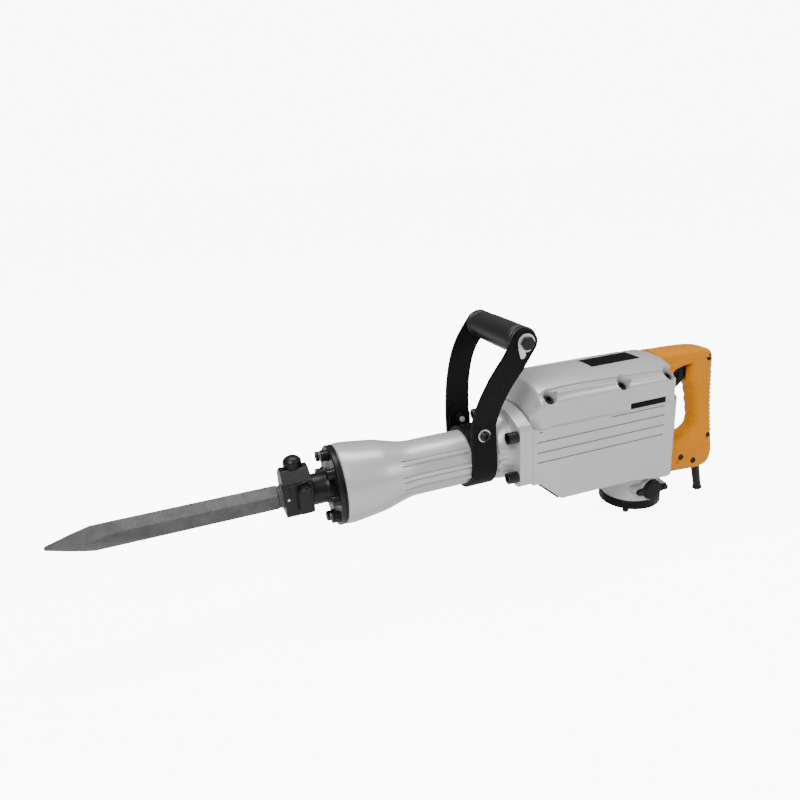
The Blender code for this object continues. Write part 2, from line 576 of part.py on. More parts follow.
def make_side_handle():
    """One bent strap: a band round the barrel's underside and two arms up to the grip."""
    sections = []

    def station(centre, across, inner, outer, width):
        corners = []
        for point, sign in ((inner, -1), (inner, 1), (outer, 1), (outer, -1)):
            corners.append(Vector(point) + across * (sign * width / 2))
        sections.append(corners)

    def arm(side):
        path = strap_path(side)
        made = []
        for i, (x, z, y) in enumerate(path):
            low, high = path[max(i - 1, 0)], path[min(i + 1, len(path) - 1)]
            tangent = Vector((high[0] - low[0], 0, high[1] - low[1])).normalized()
            across = Vector((tangent.z, 0, -tangent.x))
            made.append((Vector((x, y, z)), across, STRAP_WIDTH - i * 0.4))
        end, across, width = made[-1]
        tangent = Vector((-across.z, 0, across.x))
        for angle in (20, 40, 58, 74, 84):
            a = math.radians(angle)
            made.append((end + tangent * (width / 2 * math.sin(a)), across, width * math.cos(a)))
        return made

    thick = STRAP_THICKNESS
    for point, across, width in reversed(arm(-1)):
        station(point, across, point, point + Vector((0, -thick, 0)), width)
    for step in range(1, 12):
        a = math.pi + math.pi * step / 12
        radial = Vector((0, math.cos(a), math.sin(a)))
        centre = Vector((STRAP_X, 0, 0))
        inner, outer = centre + radial * STRAP_INNER, centre + radial * (STRAP_INNER + thick)
        station(centre, Vector((1, 0, 0)), inner, outer, STRAP_WIDTH)
    for point, across, width in arm(1):
        station(point, across, point, point + Vector((0, thick, 0)), width)
    strap = add_object("handle_strap", loft(bmesh.new(), sections), SWIVEL, BLACK_IRON)
    holes = rod(bmesh.new(), "Y", (STRAP_X - 1, 0, CLAMP_Z), -60, 60, 5.4, 16)
    rod(holes, "Y", (GRIP_X, 0, GRIP_Z), -90, 90, 6.4, 16)
    boolean(strap, "DIFFERENCE", holes, "handle_strap.holes")

    face, back = STRAP_INNER - GAP, STRAP_INNER - GAP - thick
    low_ring, high_ring = BARREL_RADIUS + 3 * GAP, BARREL_RADIUS + 3 * GAP + thick
    start = math.degrees(math.acos(back / low_ring))
    bend = math.degrees(math.acos(back / high_ring))
    outline = arc((0, 0), low_ring, 180 - start, start, 12)
    outline += [(face, 21), (face, TAB_TOP_Z), (back, TAB_TOP_Z)]
    outline += arc((0, 0), high_ring, bend, 180 - bend, 12)
    outline += [(-back, TAB_TOP_Z), (-face, TAB_TOP_Z), (-face, 21)]
    saddle = prism(bmesh.new(), "X", outline, STRAP_X - 16, STRAP_X + 16)
    block = add_object("handle_saddle", saddle, SWIVEL, BLACK_IRON)
    hole = rod(bmesh.new(), "Y", (STRAP_X - 1, 0, CLAMP_Z), -60, 60, 5.4, 16)
    boolean(block, "DIFFERENCE", hole, "handle_saddle.holes")
    for name, side in (("left", -1), ("right", 1)):
        seat = STRAP_INNER + thick + GAP
        nut = back - GAP
        profile = [(nut - 9, 0), (nut - 9, 5), (nut - 6, 5), (nut - 6, 8.5), (nut, 8.5), (nut, 5), (seat, 5),
                   (seat, 9), (seat + 5.5, 8.4), (seat + 5.5, 4), (seat + 3, 4), (seat + 3, 0)]
        profile = [(side * y, r) for y, r in profile]
        body = turned(bmesh.new(), "Y", (STRAP_X - 1, 0, CLAMP_Z), profile, 12)
        add_object(f"clamp_bolt_{name}", body, SWIVEL, BLACK_STEEL)

    centre = (GRIP_X, 0, GRIP_Z)
    reach = STRAP_INNER + GRIP_FLARE - 2 * GAP
    grip = [(-reach, 6.6), (-reach, GRIP_RADIUS), (-reach + 4, GRIP_RADIUS), (-reach + 5, 17.5),
            (-reach + 7, 17.5), (-reach + 8, GRIP_RADIUS - 0.4), (reach - 8, GRIP_RADIUS - 0.4),
            (reach - 7, 17.5), (reach - 5, 17.5), (reach - 4, GRIP_RADIUS), (reach, GRIP_RADIUS), (reach, 6.6)]
    add_object("side_grip", turned(bmesh.new(), "Y", centre, grip, 28), SWIVEL, RUBBER)
    seat = STRAP_INNER + GRIP_FLARE + thick + GAP
    through = [(-seat - 8, 0), (-seat - 8, 8.5), (-seat - 1.6, 8.5), (-seat - 1.6, 12), (-seat, 12),
               (-seat, 6), (seat, 6), (seat, 12), (seat + 1.6, 12), (seat + 1.6, 8.5), (seat + 8, 8.5),
               (seat + 8, 0)]
    add_object("grip_rod", turned(bmesh.new(), "Y", centre, through, 12), SWIVEL, BLACK_STEEL)


def handle_half(side):
    """One half of the rear handle, lofted down its C from the top arm round the grip to the lower arm."""
    sections = []
    for outer, inner, width, square in HANDLE_STATIONS:
        section = []
        for step in range(HANDLE_STEPS + 1):
            angle = math.pi * step / HANDLE_STEPS
            share = 0.5 + 0.5 * math.copysign(abs(math.cos(angle)) ** square, math.cos(angle))
            y = GAP / 2 + (width - GAP / 2) * math.sin(angle) ** square
            x, z = (b + (a - b) * share for a, b in zip(outer, inner))
            section.append((x, side * y, z))
        sections.append(section)
    return loft(bmesh.new(), sections)


def lean(bm):
    """Sets a body made on the Z axis, with its end at the origin, along the slanting cord guard."""
    bmesh.ops.rotate(bm, verts=bm.verts, cent=Vector(), matrix=Matrix.Rotation(-GUARD_TILT, 3, "Y"))
    bmesh.ops.translate(bm, verts=bm.verts, vec=Vector((GUARD_END_X, 0, GUARD_END_Z)))
    return bm


def make_rear_handle():
    for name, side in (("left", -1), ("right", 1)):
        half = add_object(f"rear_handle_{name}", handle_half(side), look=ORANGE)
        cuts = lean(rod(bmesh.new(), "Z", (0, 0, 0), -10, GUARD_LENGTH + 1, 7.7, 16, 0.1))
        box(cuts, (540, -8.5, 48.5), (602, 8.5, 92))
        boolean(half, "DIFFERENCE", cuts, f"rear_handle_{name}.cuts")

    paddle = [(560, 88), (548, 88), (545, 76), (549, 60), (548, 50), (541, 42), (545, 39), (552, 43),
              (558, 52), (562, 70)]
    body = prism(bmesh.new(), "Y", paddle, -7.5, 7.5, 1.2, segments=1)
    add_object("trigger", body, TRIGGER_PIVOT, PLASTIC)
    switch = box(bmesh.new(), (572, -8, 51), (600, 8, 84), 1.0)
    add_object("switch_body", switch, look=PLASTIC)

    profile = [(0, GUARD_RADIUS), (3, GUARD_RADIUS), (3.5, 6.2), (GUARD_LENGTH, 7.0), (GUARD_LENGTH, 4.2), (0, 4.2)]
    add_object("cord_guard", lean(turned(bmesh.new(), "Z", (0, 0, 0), profile)), look=RUBBER)


for old in list(bpy.data.objects):
    bpy.data.objects.remove(old)

SILVER = material("silver_paint", (0.52, 0.53, 0.54), 0.38, 0.55)
BLACK_IRON = material("black_iron", (0.03, 0.03, 0.033), 0.5, 0.4)
BLACK_STEEL = material("black_oxide_steel", (0.025, 0.025, 0.028), 0.38, 0.8)
STEEL = material("forged_steel", (0.16, 0.16, 0.17), 0.5, 0.8)
ALUMINIUM = material("bare_aluminium", (0.6, 0.6, 0.6), 0.4, 0.9)
RUBBER = material("black_rubber", (0.03, 0.03, 0.03), 0.75, 0.0)
PLASTIC = material("black_plastic", (0.02, 0.02, 0.02), 0.4, 0.0)
ORANGE = material("orange_plastic", (0.8, 0.36, 0.02), 0.42, 0.0)

SWIVEL = (STRAP_X, 0, 0)
FRAME = bpy.data.objects.new("strike_axis", None)
bpy.context.scene.collection.objects.link(FRAME)
lowest = GUARD_END_Z - GUARD_RADIUS * math.sin(GUARD_TILT)
FRAME.location = (-MIDDLE_X * MM, 0, -lowest * MM)

make_tool()
make_nose()
make_stop_lever()
make_knob()
make_flange_bolts()
make_barrel()
make_barrel_bolts()
make_strike_line()
make_piston()
make_connecting_rod()
make_drive_train()
make_motor()
make_case()
make_hood()
make_side_handle()
make_rear_handle()
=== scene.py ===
"""The electric jackhammer's looks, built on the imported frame.

Sizes are in millimetres in the machine's own frame: X runs along the strike axis from the tool to
the rear handle, Z is up, and x = 0 is the joint between the nose and the barrel.
"""

import json
import math

import bmesh
import bpy
from mathutils import Matrix, Vector
from mathutils.bvhtree import BVHTree


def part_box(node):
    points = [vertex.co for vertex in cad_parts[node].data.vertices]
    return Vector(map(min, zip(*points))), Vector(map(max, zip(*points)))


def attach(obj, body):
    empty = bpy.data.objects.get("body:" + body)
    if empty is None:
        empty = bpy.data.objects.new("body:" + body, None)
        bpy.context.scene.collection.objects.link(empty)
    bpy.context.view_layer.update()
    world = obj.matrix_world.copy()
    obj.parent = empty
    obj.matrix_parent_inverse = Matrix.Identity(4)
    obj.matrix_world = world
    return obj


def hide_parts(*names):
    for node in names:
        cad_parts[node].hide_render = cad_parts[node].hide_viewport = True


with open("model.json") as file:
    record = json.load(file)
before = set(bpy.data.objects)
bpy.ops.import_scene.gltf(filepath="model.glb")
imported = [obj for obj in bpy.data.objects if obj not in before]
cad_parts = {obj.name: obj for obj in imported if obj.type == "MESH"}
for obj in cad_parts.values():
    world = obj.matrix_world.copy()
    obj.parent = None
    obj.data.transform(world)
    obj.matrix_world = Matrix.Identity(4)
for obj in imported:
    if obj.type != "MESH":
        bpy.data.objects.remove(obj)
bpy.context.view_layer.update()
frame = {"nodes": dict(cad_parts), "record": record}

MM = 0.001
GAP = 0.3
SLOT_OF = {part["node"]: part["material_slot"] for part in frame["record"]["subparts"]}


def middle(node):
    low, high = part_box(node)
    return (low + high) / 2


ORIGIN = Vector((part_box("barrel")[0].x - GAP * MM, 0, middle("tool_sleeve").z))


def at(x, y, z):
    """A point of the machine's frame, in world metres."""
    return ORIGIN + Vector((x, y, z)) * MM


def local(point):
    """A world point in the machine's frame."""
    return (Vector(point) - ORIGIN) / MM


# Sizes that the looks share with the solids
TIP_X = local(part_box("moil_point")[0]).x
TOOL_END_X = local(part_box("moil_point")[1]).x
HEX_FLATS = (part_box("moil_point")[1].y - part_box("moil_point")[0].y) / MM
SHOULDER_X = -82.6
NECK_RADIUS = 14.3
POINT_TWIST = math.radians(-12)
POINT_GROWTH = [(0, 2.6), (30, 11.0), (60, 17.8), (76, 20.5), (95, 22.1), (128, 24.6), (160, 32)]
BLOCK_X = (-73.7, -37.0)
BLOCK_HALF_WIDTH = 24.5
NOSE_NECK_RADIUS = 20.5
FLANGE_RADIUS = 53.4
FLANGE_FRONT_X = -9.0
FLANGE_BOLT_CIRCLE = 43.5
PIN_X, PIN_Z, PIN_RADIUS = -48.0, 12.8, 9.0
KNOB_X, KNOB_Y = -55.0, 4.0
BARREL_RADIUS = 38.0
BORE_RADIUS = 32.0
FLANGE_HOLE_RADIUS = 4.4
BOLT_HOLE_RADIUS = 5.4
SCREW_HOLE_RADIUS = 3.4
RIB_ANGLES = (35.5, 5, -21)
RIB_SECTION = [(-3.1, -4.0), (-2.3, 0.6), (-1.5, 3.3), (1.5, 3.3), (2.3, 0.6), (3.1, -4.0)]
RIB_X = (72, 177.4)
GROOVE_SECTION = [(-0.4, -1.6), (-0.9, 8), (0.9, 8), (0.4, -1.6)]
GROOVE_OFFSET = 3.6
GROOVE_X = (80, 177)
REAR_PLATE_X = (240.0, 259.7)
STRAP_X = 196.0
STRAP_WIDTH = 36.0
STRAP_THICKNESS = 5.0
STRAP_INNER = 38.6
GRIP_FLARE = 25.0
CLAMP_Z = 45.0
CLAMP_AXIS = (STRAP_X - 1, 0, CLAMP_Z)
TAB_TOP_Z = 62.0
GRIP_X, GRIP_Z, GRIP_RADIUS = 243.5, 171.0, 19.3
CASE_FRONT_X, CASE_REAR_X = 260.3, 520.0
CASE_HALF_WIDTH = 60.0
SEAM_Z = 43.0
HOOD_X = (262.3, 495.0)
COVER_SCREWS = [(289.0, 54.0), (407.0, 54.0), (488.0, 50.5)]
COVER_BOSS_TOPS = (82.5, 81.5, 80.5)
COVER_SCREW_SEAT_Z = 73.0
SCREW_LEAN = math.radians(36)
MOTOR_X = local(middle("motor_cover")).x
MOTOR_RADIUS = 45.0
MOTOR_END_Z = -120.6
BRUSH_Z = -100.0
COVER_LOW_Z = -135.3
VENT_COUNT = 16
FOOT_CIRCLE = 40
FINGER_BUMPS = (-24, 36)
FINGER_PITCH = 17
FINGER_DEPTH = 1.3
HANDLE_STEPS = 4
HANDLE_ARC_STEPS = 32
HANDLE_SCREWS = ((592, 84), (609, -50), (554, -76), (580, -87))
HANDLE_LINES = {  # (x, z) along each raised line, and its radius
    "bead": ([(548, -84), (566, -80), (584, -73), (600, -63), (612, -54)], 3.2),
    "step": ([(522, 79), (545, 82), (570, 86), (588, 87), (598, 83)], 1.7),
    "seam": ([(592, 74), (594, 60), (597, 30), (600, 0), (604, -30)], 1.1),
}
DOT_ROWS, DOT_COUNT, DOT_PITCH, DOT_RADIUS = (1.6, 5.2), 15, 7, 1.6
HANDLE_STATIONS = [  # outer (x, z), inner (x, z), half width, and squareness, where 1 is an ellipse
    ((495.3, 104), (495.3, 44), 22, 0.35),
    ((521, 103), (521.5, 44), 22, 0.38),
    ((527, 102.8), (525, 66), 22, 0.4),
    ((545, 102), (538, 74), 22, 0.42),
    ((572, 100.5), (560, 77), 22, 0.45),
    ((592, 97.5), (560.5, 71), 22, 0.48),
    ((602, 91), (561, 63), 21, 0.5),
    ((607, 78), (561, 54), 19.5, 0.55),
    ((609, 62), (562.5, 46), 18, 0.6),
    ((611, 45), (569, 38), 17, 0.66),
    ((612.5, 27), (574, 27), 16.5, 0.7),
    ((614.5, 3), (579, 4), 16.5, 0.7),
    ((617, -18), (583, -16), 16.5, 0.7),
    ((620, -42), (582, -29), 17, 0.66),
    ((623, -66), (574, -38), 18.5, 0.6),
    ((624, -84), (563, -42), 20, 0.55),
    ((617, -101), (552, -43.5), 20, 0.5),
    ((596, -106), (541, -44), 20.5, 0.46),
    ((560, -103.5), (530, -43), 21, 0.44),
    ((520.3, -101), (520.3, -42), 21, 0.42),
]
GUARD_END_X, GUARD_END_Z, GUARD_LENGTH, GUARD_TILT = 615.6, -154.0, 62.0, math.radians(12)
SIDES = (("left", -1), ("right", 1))

# Camera, as a place in the machine's frame and three angles, with its reach in metres
CAMERA_PLACE = (-167.7, -758.6, 390.9)
CAMERA_AZIMUTH = math.radians(19.12)
CAMERA_ELEVATION = math.radians(19.90)
CAMERA_ROLL = math.radians(-3.87)
CAMERA_LENS = 29.25
CAMERA_REACH = 100

# Studio: the floor in metres, how bright the camera sees the floor and the backdrop, and the backdrop's light
FLOOR_SIZE = 30
FLOOR_DROP = 0.0005
FLOOR_GLOW = 9.0
BACKDROP_SEEN = 9.3
BACKDROP_LIGHT = 0.24
LAMPS = [  # name, then place, target and size in metres, and watts
    ("key", (-1.2, -1.5, 2.0), (0, 0, 0.15), (1.2, 0.8), 62),
    ("top", (0.2, 0.4, 2.2), (0.1, 0, 0.1), (2.0, 0.6), 40),
    ("side", (1.6, -1.3, 1.0), (0.3, 0, 0.15), (0.8, 0.8), 12),
]


# ---------------------------------------------------------------- materials

def surface(name, colour, roughness, metallic=0.0, mottle=0.08, mottle_scale=30, grain_scale=900,
            bump=0.1, rough_swing=0.08, coat=0.0, gleam=0.5, worn=None):
    """A Principled surface with mottled colour, uneven gloss and a fine bump, all in object space."""
    made = bpy.data.materials.new(name)
    made.use_nodes = True
    nodes, links = made.node_tree.nodes, made.node_tree.links
    shader = nodes["Principled BSDF"]
    shader.inputs["Metallic"].default_value = metallic
    shader.inputs["Coat Weight"].default_value = coat
    shader.inputs["Specular IOR Level"].default_value = gleam
    shader.inputs["Coat Roughness"].default_value = 0.25
    place = nodes.new("ShaderNodeTexCoord").outputs["Object"]

    def noise(scale, detail=4.0):
        node = nodes.new("ShaderNodeTexNoise")
        node.inputs["Scale"].default_value = scale
        node.inputs["Detail"].default_value = detail
        links.new(place, node.inputs["Vector"])
        return node.outputs["Fac"]

    ramp = nodes.new("ShaderNodeValToRGB")
    ramp.color_ramp.elements[0].position = 0.3
    ramp.color_ramp.elements[1].position = 0.7
    ramp.color_ramp.elements[0].color = (*(c * (1 - mottle) for c in colour), 1)
    ramp.color_ramp.elements[1].color = (*(min(1, c * (1 + mottle)) for c in colour), 1)
    links.new(noise(mottle_scale), ramp.inputs["Fac"])
    tint = ramp.outputs["Color"]
    if worn:
        worn_colour, amount = worn
        speck = nodes.new("ShaderNodeMapRange")
        speck.inputs["From Min"].default_value = 0.60
        speck.inputs["From Max"].default_value = 0.72
        speck.inputs["To Max"].default_value = amount
        links.new(noise(grain_scale * 0.6, 6), speck.inputs["Value"])
        mix = nodes.new("ShaderNodeMix")
        mix.data_type = "RGBA"
        links.new(speck.outputs["Result"], mix.inputs["Factor"])
        links.new(tint, mix.inputs[6])
        mix.inputs[7].default_value = (*worn_colour, 1)
        tint = mix.outputs[2]
    links.new(tint, shader.inputs["Base Color"])

    gloss = nodes.new("ShaderNodeMapRange")
    gloss.inputs["To Min"].default_value = roughness - rough_swing
    gloss.inputs["To Max"].default_value = roughness + rough_swing
    links.new(noise(mottle_scale * 5), gloss.inputs["Value"])
    links.new(gloss.outputs["Result"], shader.inputs["Roughness"])

    relief = nodes.new("ShaderNodeBump")
    relief.inputs["Strength"].default_value = bump
    relief.inputs["Distance"].default_value = 0.0004
    links.new(noise(grain_scale, 3), relief.inputs["Height"])
    links.new(relief.outputs["Normal"], shader.inputs["Normal"])
    return made


LOOKS = {
    "forged_steel": surface("forged_steel", (0.075, 0.075, 0.078), 0.5, 0.2, 0.25, 60, 1400, 0.55, 0.1,
                            gleam=0.4, worn=((0.17, 0.17, 0.17), 0.5)),
    "black_iron": surface("black_iron", (0.005, 0.005, 0.0053), 0.36, 0.0, 0.2, 60, 1100, 0.25,
                          gleam=0.3, worn=((0.03, 0.03, 0.03), 0.3)),
    "black_strap": surface("black_strap", (0.004, 0.004, 0.0042), 0.5, 0.0, 0.15, 40, 1500, 0.15, gleam=0.1),
    "black_steel": surface("black_steel", (0.004, 0.004, 0.0043), 0.32, 0.0, 0.2, 90, 1600, 0.12, gleam=0.35),
    "silver_paint": surface("silver_paint", (0.49, 0.493, 0.496), 0.34, 0.3, 0.03, 12, 2200, 0.06, 0.05,
                            coat=0.25),
    "blank_plate": surface("blank_plate", (0.003, 0.003, 0.003), 0.55, 0.0, 0.1, 50, 1800, 0.04, gleam=0.08),
    "orange_plastic": surface("orange_plastic", (0.62, 0.215, 0.0), 0.42, 0.0, 0.04, 25, 1700, 0.12, 0.05,
                              gleam=0.12),
    "black_plastic": surface("black_plastic", (0.003, 0.003, 0.003), 0.34, 0.0, 0.12, 60, 1500, 0.15,
                             gleam=0.16),
    "grip_rubber": surface("grip_rubber", (0.006, 0.006, 0.006), 0.4, 0.0, 0.12, 80, 1300, 0.2, gleam=0.5),
    "cord_rubber": surface("cord_rubber", (0.007, 0.007, 0.007), 0.5, 0.0, 0.12, 80, 1300, 0.25, gleam=0.35),
    "damper_rubber": surface("damper_rubber", (0.03, 0.03, 0.03), 0.7, 0.0, 0.1, 80, 1200, 0.3),
    "carbon": surface("carbon", (0.03, 0.03, 0.03), 0.6, 0.0, 0.2, 200, 2500, 0.3),
    "machined_steel": surface("machined_steel", (0.7, 0.7, 0.71), 0.4, 0.6, 0.05, 60, 2500, 0.08),
    "bare_aluminium": surface("bare_aluminium", (0.6, 0.6, 0.6), 0.36, 0.95, 0.05, 50, 1800, 0.12),
}

for node, thing in frame["nodes"].items():
    thing.data.materials.clear()
    thing.data.materials.append(LOOKS[SLOT_OF[node]])


# ---------------------------------------------------------------- modelling helpers

def axis_points(axis, centre, along, radius, angle):
    a, b = radius * math.cos(angle), radius * math.sin(angle)
    offset = {"X": (along, a, b), "Y": (b, along, a), "Z": (a, b, along)}[axis]
    return Vector(centre) + Vector(offset)


def turned(bm, axis, centre, profile, steps=64, phase=0.0):
    """A body of revolution. The profile's (along, radius) points close on themselves or on the axis."""
    rings = []
    for along, radius in profile:
        if radius == 0:
            rings.append([bm.verts.new(axis_points(axis, centre, along, 0, 0))])
            continue
        angles = [phase + math.tau * i / steps for i in range(steps)]
        rings.append([bm.verts.new(axis_points(axis, centre, along, radius, a)) for a in angles])
    solid = len(rings[0]) == 1 and len(rings[-1]) == 1
    pairs = list(zip(rings, rings[1:]))
    if not solid:
        pairs.append((rings[-1], rings[0]))
    for one, other in pairs:
        for i in range(steps):
            j = (i + 1) % steps
            if len(one) == 1:
                bm.faces.new((one[0], other[i], other[j]))
            elif len(other) == 1:
                bm.faces.new((one[i], one[j], other[0]))
            else:
                bm.faces.new((one[i], one[j], other[j], other[i]))
    return bm


def rod(bm, axis, centre, low, high, radius, steps=32, phase=0.0):
    return turned(bm, axis, centre, [(low, 0), (low, radius), (high, radius), (high, 0)], steps, phase)


def loft(bm, sections):
    """A closed body through sections that all have the same number of points."""
    rings = [[bm.verts.new(point) for point in section] for section in sections]
    count = len(rings[0])
    for one, other in zip(rings, rings[1:]):
        for i in range(count):
            j = (i + 1) % count
            bm.faces.new((one[i], one[j], other[j], other[i]))
    bm.faces.new(rings[0])
    bm.faces.new(list(reversed(rings[-1])))
    return bm


def prism(bm, axis, outline, low, high):
    """An outline extruded along an axis. Its points are (y, z) for X, (x, z) for Y and (x, y) for Z."""
    def point(u, v, along):
        return {"X": (along, u, v), "Y": (u, along, v), "Z": (u, v, along)}[axis]

    return loft(bm, [[point(u, v, along) for u, v in outline] for along in (low, high)])


def box(bm, low, high):
    outline = [(low[0], low[2]), (high[0], low[2]), (high[0], high[2]), (low[0], high[2])]
    return prism(bm, "Y", outline, low[1], high[1])


def mirrored(points):
    """A half outline or profile, then the same points back along the other side."""
    return list(points) + [(-y, z) for y, z in reversed(points)]


def arc(centre, radius, start, end, count):
    steps = [math.radians(start + (end - start) * i / (count - 1)) for i in range(count)]
    return [(centre[0] + radius * math.cos(a), centre[1] + radius * math.sin(a)) for a in steps]


def smooth_run(points, count):
    """More points on a Catmull-Rom curve through the given ones, whose ends are kept."""
    points = [Vector(p) for p in points]
    ends = [points[0] * 2 - points[1]] + points + [points[-1] * 2 - points[-2]]
    run = []
    for i in range(1, len(ends) - 2):
        a, b, c, d = ends[i - 1:i + 3]
        for step in range(count):
            t = step / count
            run.append(0.5 * (2 * b + (c - a) * t + (2 * a - 5 * b + 4 * c - d) * t ** 2
                              + (3 * b - a - 3 * c + d) * t ** 3))
    return run + [points[-1]]


def hexagon(flats, corner_up=True):
    radius = flats / 2 / math.cos(math.pi / 6)
    angles = [math.tau * i / 6 + (0 if corner_up else math.pi / 6) for i in range(6)]
    return [(radius * math.sin(a), radius * math.cos(a)) for a in angles]


def moved(outline, u, v):
    """An outline shifted in its own plane."""
    return [(u + a, v + b) for a, b in outline]


def span(side, near, far):
    """Two distances out from the middle plane, as the lower and the higher Y on one side."""
    return sorted((side * near, side * far))


def sided(side, profile):
    """A profile turned about Y, set on one side of the middle plane."""
    return [(side * along, radius) for along, radius in profile]


def tube_along(bm, points, radius, steps=12):
    """A round bar along a run of points, with closed ends."""
    points = [Vector(p) for p in points]
    sections = []
    for i, point in enumerate(points):
        tangent = (points[min(i + 1, len(points) - 1)] - points[max(i - 1, 0)]).normalized()
        side = tangent.cross(Vector((0, 1, 0)))
        side = side.normalized() if side.length > 0.1 else tangent.cross(Vector((1, 0, 0))).normalized()
        up = tangent.cross(side)
        sections.append([point + (side * math.cos(a) + up * math.sin(a)) * radius
                         for a in (math.tau * k / steps for k in range(steps))])
    return loft(bm, sections)


def ball(bm, centre, radius):
    made = bmesh.ops.create_uvsphere(bm, u_segments=12, v_segments=8, radius=radius)
    bmesh.ops.translate(bm, verts=made["verts"], vec=Vector(centre))


def to_object(name, bm):
    bmesh.ops.recalc_face_normals(bm, faces=bm.faces)
    for vert in bm.verts:
        vert.co = at(*vert.co)
    mesh = bpy.data.meshes.new(name)
    bm.to_mesh(mesh)
    bm.free()
    made = bpy.data.objects.new(name, mesh)
    bpy.context.scene.collection.objects.link(made)
    return made


def bake(thing):
    """Applies the object's modifiers to its mesh."""
    bpy.context.view_layer.update()
    shaped = bpy.data.meshes.new_from_object(thing.evaluated_get(bpy.context.evaluated_depsgraph_get()))
    thing.modifiers.clear()
    thing.data = shaped


def closed(mesh):
    """Whether every edge of a mesh has exactly two faces."""
    bm = bmesh.new()
    bm.from_mesh(mesh)
    whole = all(len(edge.link_faces) == 2 for edge in bm.edges)
    bm.free()
    return whole


def boolean(target, operation, bm):
    helper = to_object("helper", bm)
    modifier = target.modifiers.new(operation, "BOOLEAN")
    modifier.operation = operation
    modifier.object = helper
    modifier.solver = "MANIFOLD" if closed(target.data) and closed(helper.data) else "EXACT"
    bake(target)
    bpy.data.objects.remove(helper)
    return target


def finish(thing, look, body, stands_for=(), bevel=0.6, segments=2, angle=32, crease=38):
    """Softens the edges, gives a piece its finish and its body, and hides the CAD nodes that it stands for.
    """
    if bevel:
        modifier = thing.modifiers.new("edges", "BEVEL")
        modifier.width = bevel * MM
        modifier.segments = segments
        modifier.limit_method = "ANGLE"
        modifier.angle_limit = math.radians(angle)
        bake(thing)
    mesh = thing.data
    mesh.materials.clear()
    mesh.materials.append(LOOKS[look])
    mesh.shade_smooth()
    mesh.set_sharp_from_angle(angle=math.radians(crease))
    if bevel:
        thing.modifiers.new("normals", "WEIGHTED_NORMAL").keep_sharp = True
    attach(thing, body)
    if stands_for:
        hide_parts(*stands_for)
    return thing


def piece(name, bm, look, body, stands_for=(), bevel=0.6, segments=2):
    return finish(to_object(name, bm), look, body, stands_for, bevel, segments)


# ---------------------------------------------------------------- pieces

def make_tool():
    bar = to_object("moil_point_body", prism(bmesh.new(), "X", hexagon(HEX_FLATS), TIP_X, TOOL_END_X))
    diamond = [(math.cos(POINT_TWIST + a), math.sin(POINT_TWIST + a)) for a in
               (math.tau * i / 4 for i in range(4))]
    growth = smooth_run([(d, r, 0) for d, r in POINT_GROWTH], 4)
    sections = [[(TIP_X + g.x, g.y * y, g.y * z) for y, z in diamond] for g in growth]
    sections.append([(TOOL_END_X + 5, y, z) for _, y, z in sections[-1]])
    boolean(bar, "INTERSECT", loft(bmesh.new(), sections))
    neck = turned(bmesh.new(), "X", (0, 0, 0),
                  [(SHOULDER_X, 22), (-73, 22), (-76, NECK_RADIUS), (SHOULDER_X + 3, NECK_RADIUS)])
    box(neck, (-60, -22, PIN_Z - PIN_RADIUS - 0.6), (-26, 22, 24))
    boolean(bar, "DIFFERENCE", neck)
    finish(bar, "forged_steel", "tool", ["moil_point"], bevel=0.9, segments=3, angle=20)


def flange_angles():
    return [math.tau * i / 8 for i in range(8)]


def around_flange(angle):
    return (0, FLANGE_BOLT_CIRCLE * math.cos(angle), FLANGE_BOLT_CIRCLE * math.sin(angle))


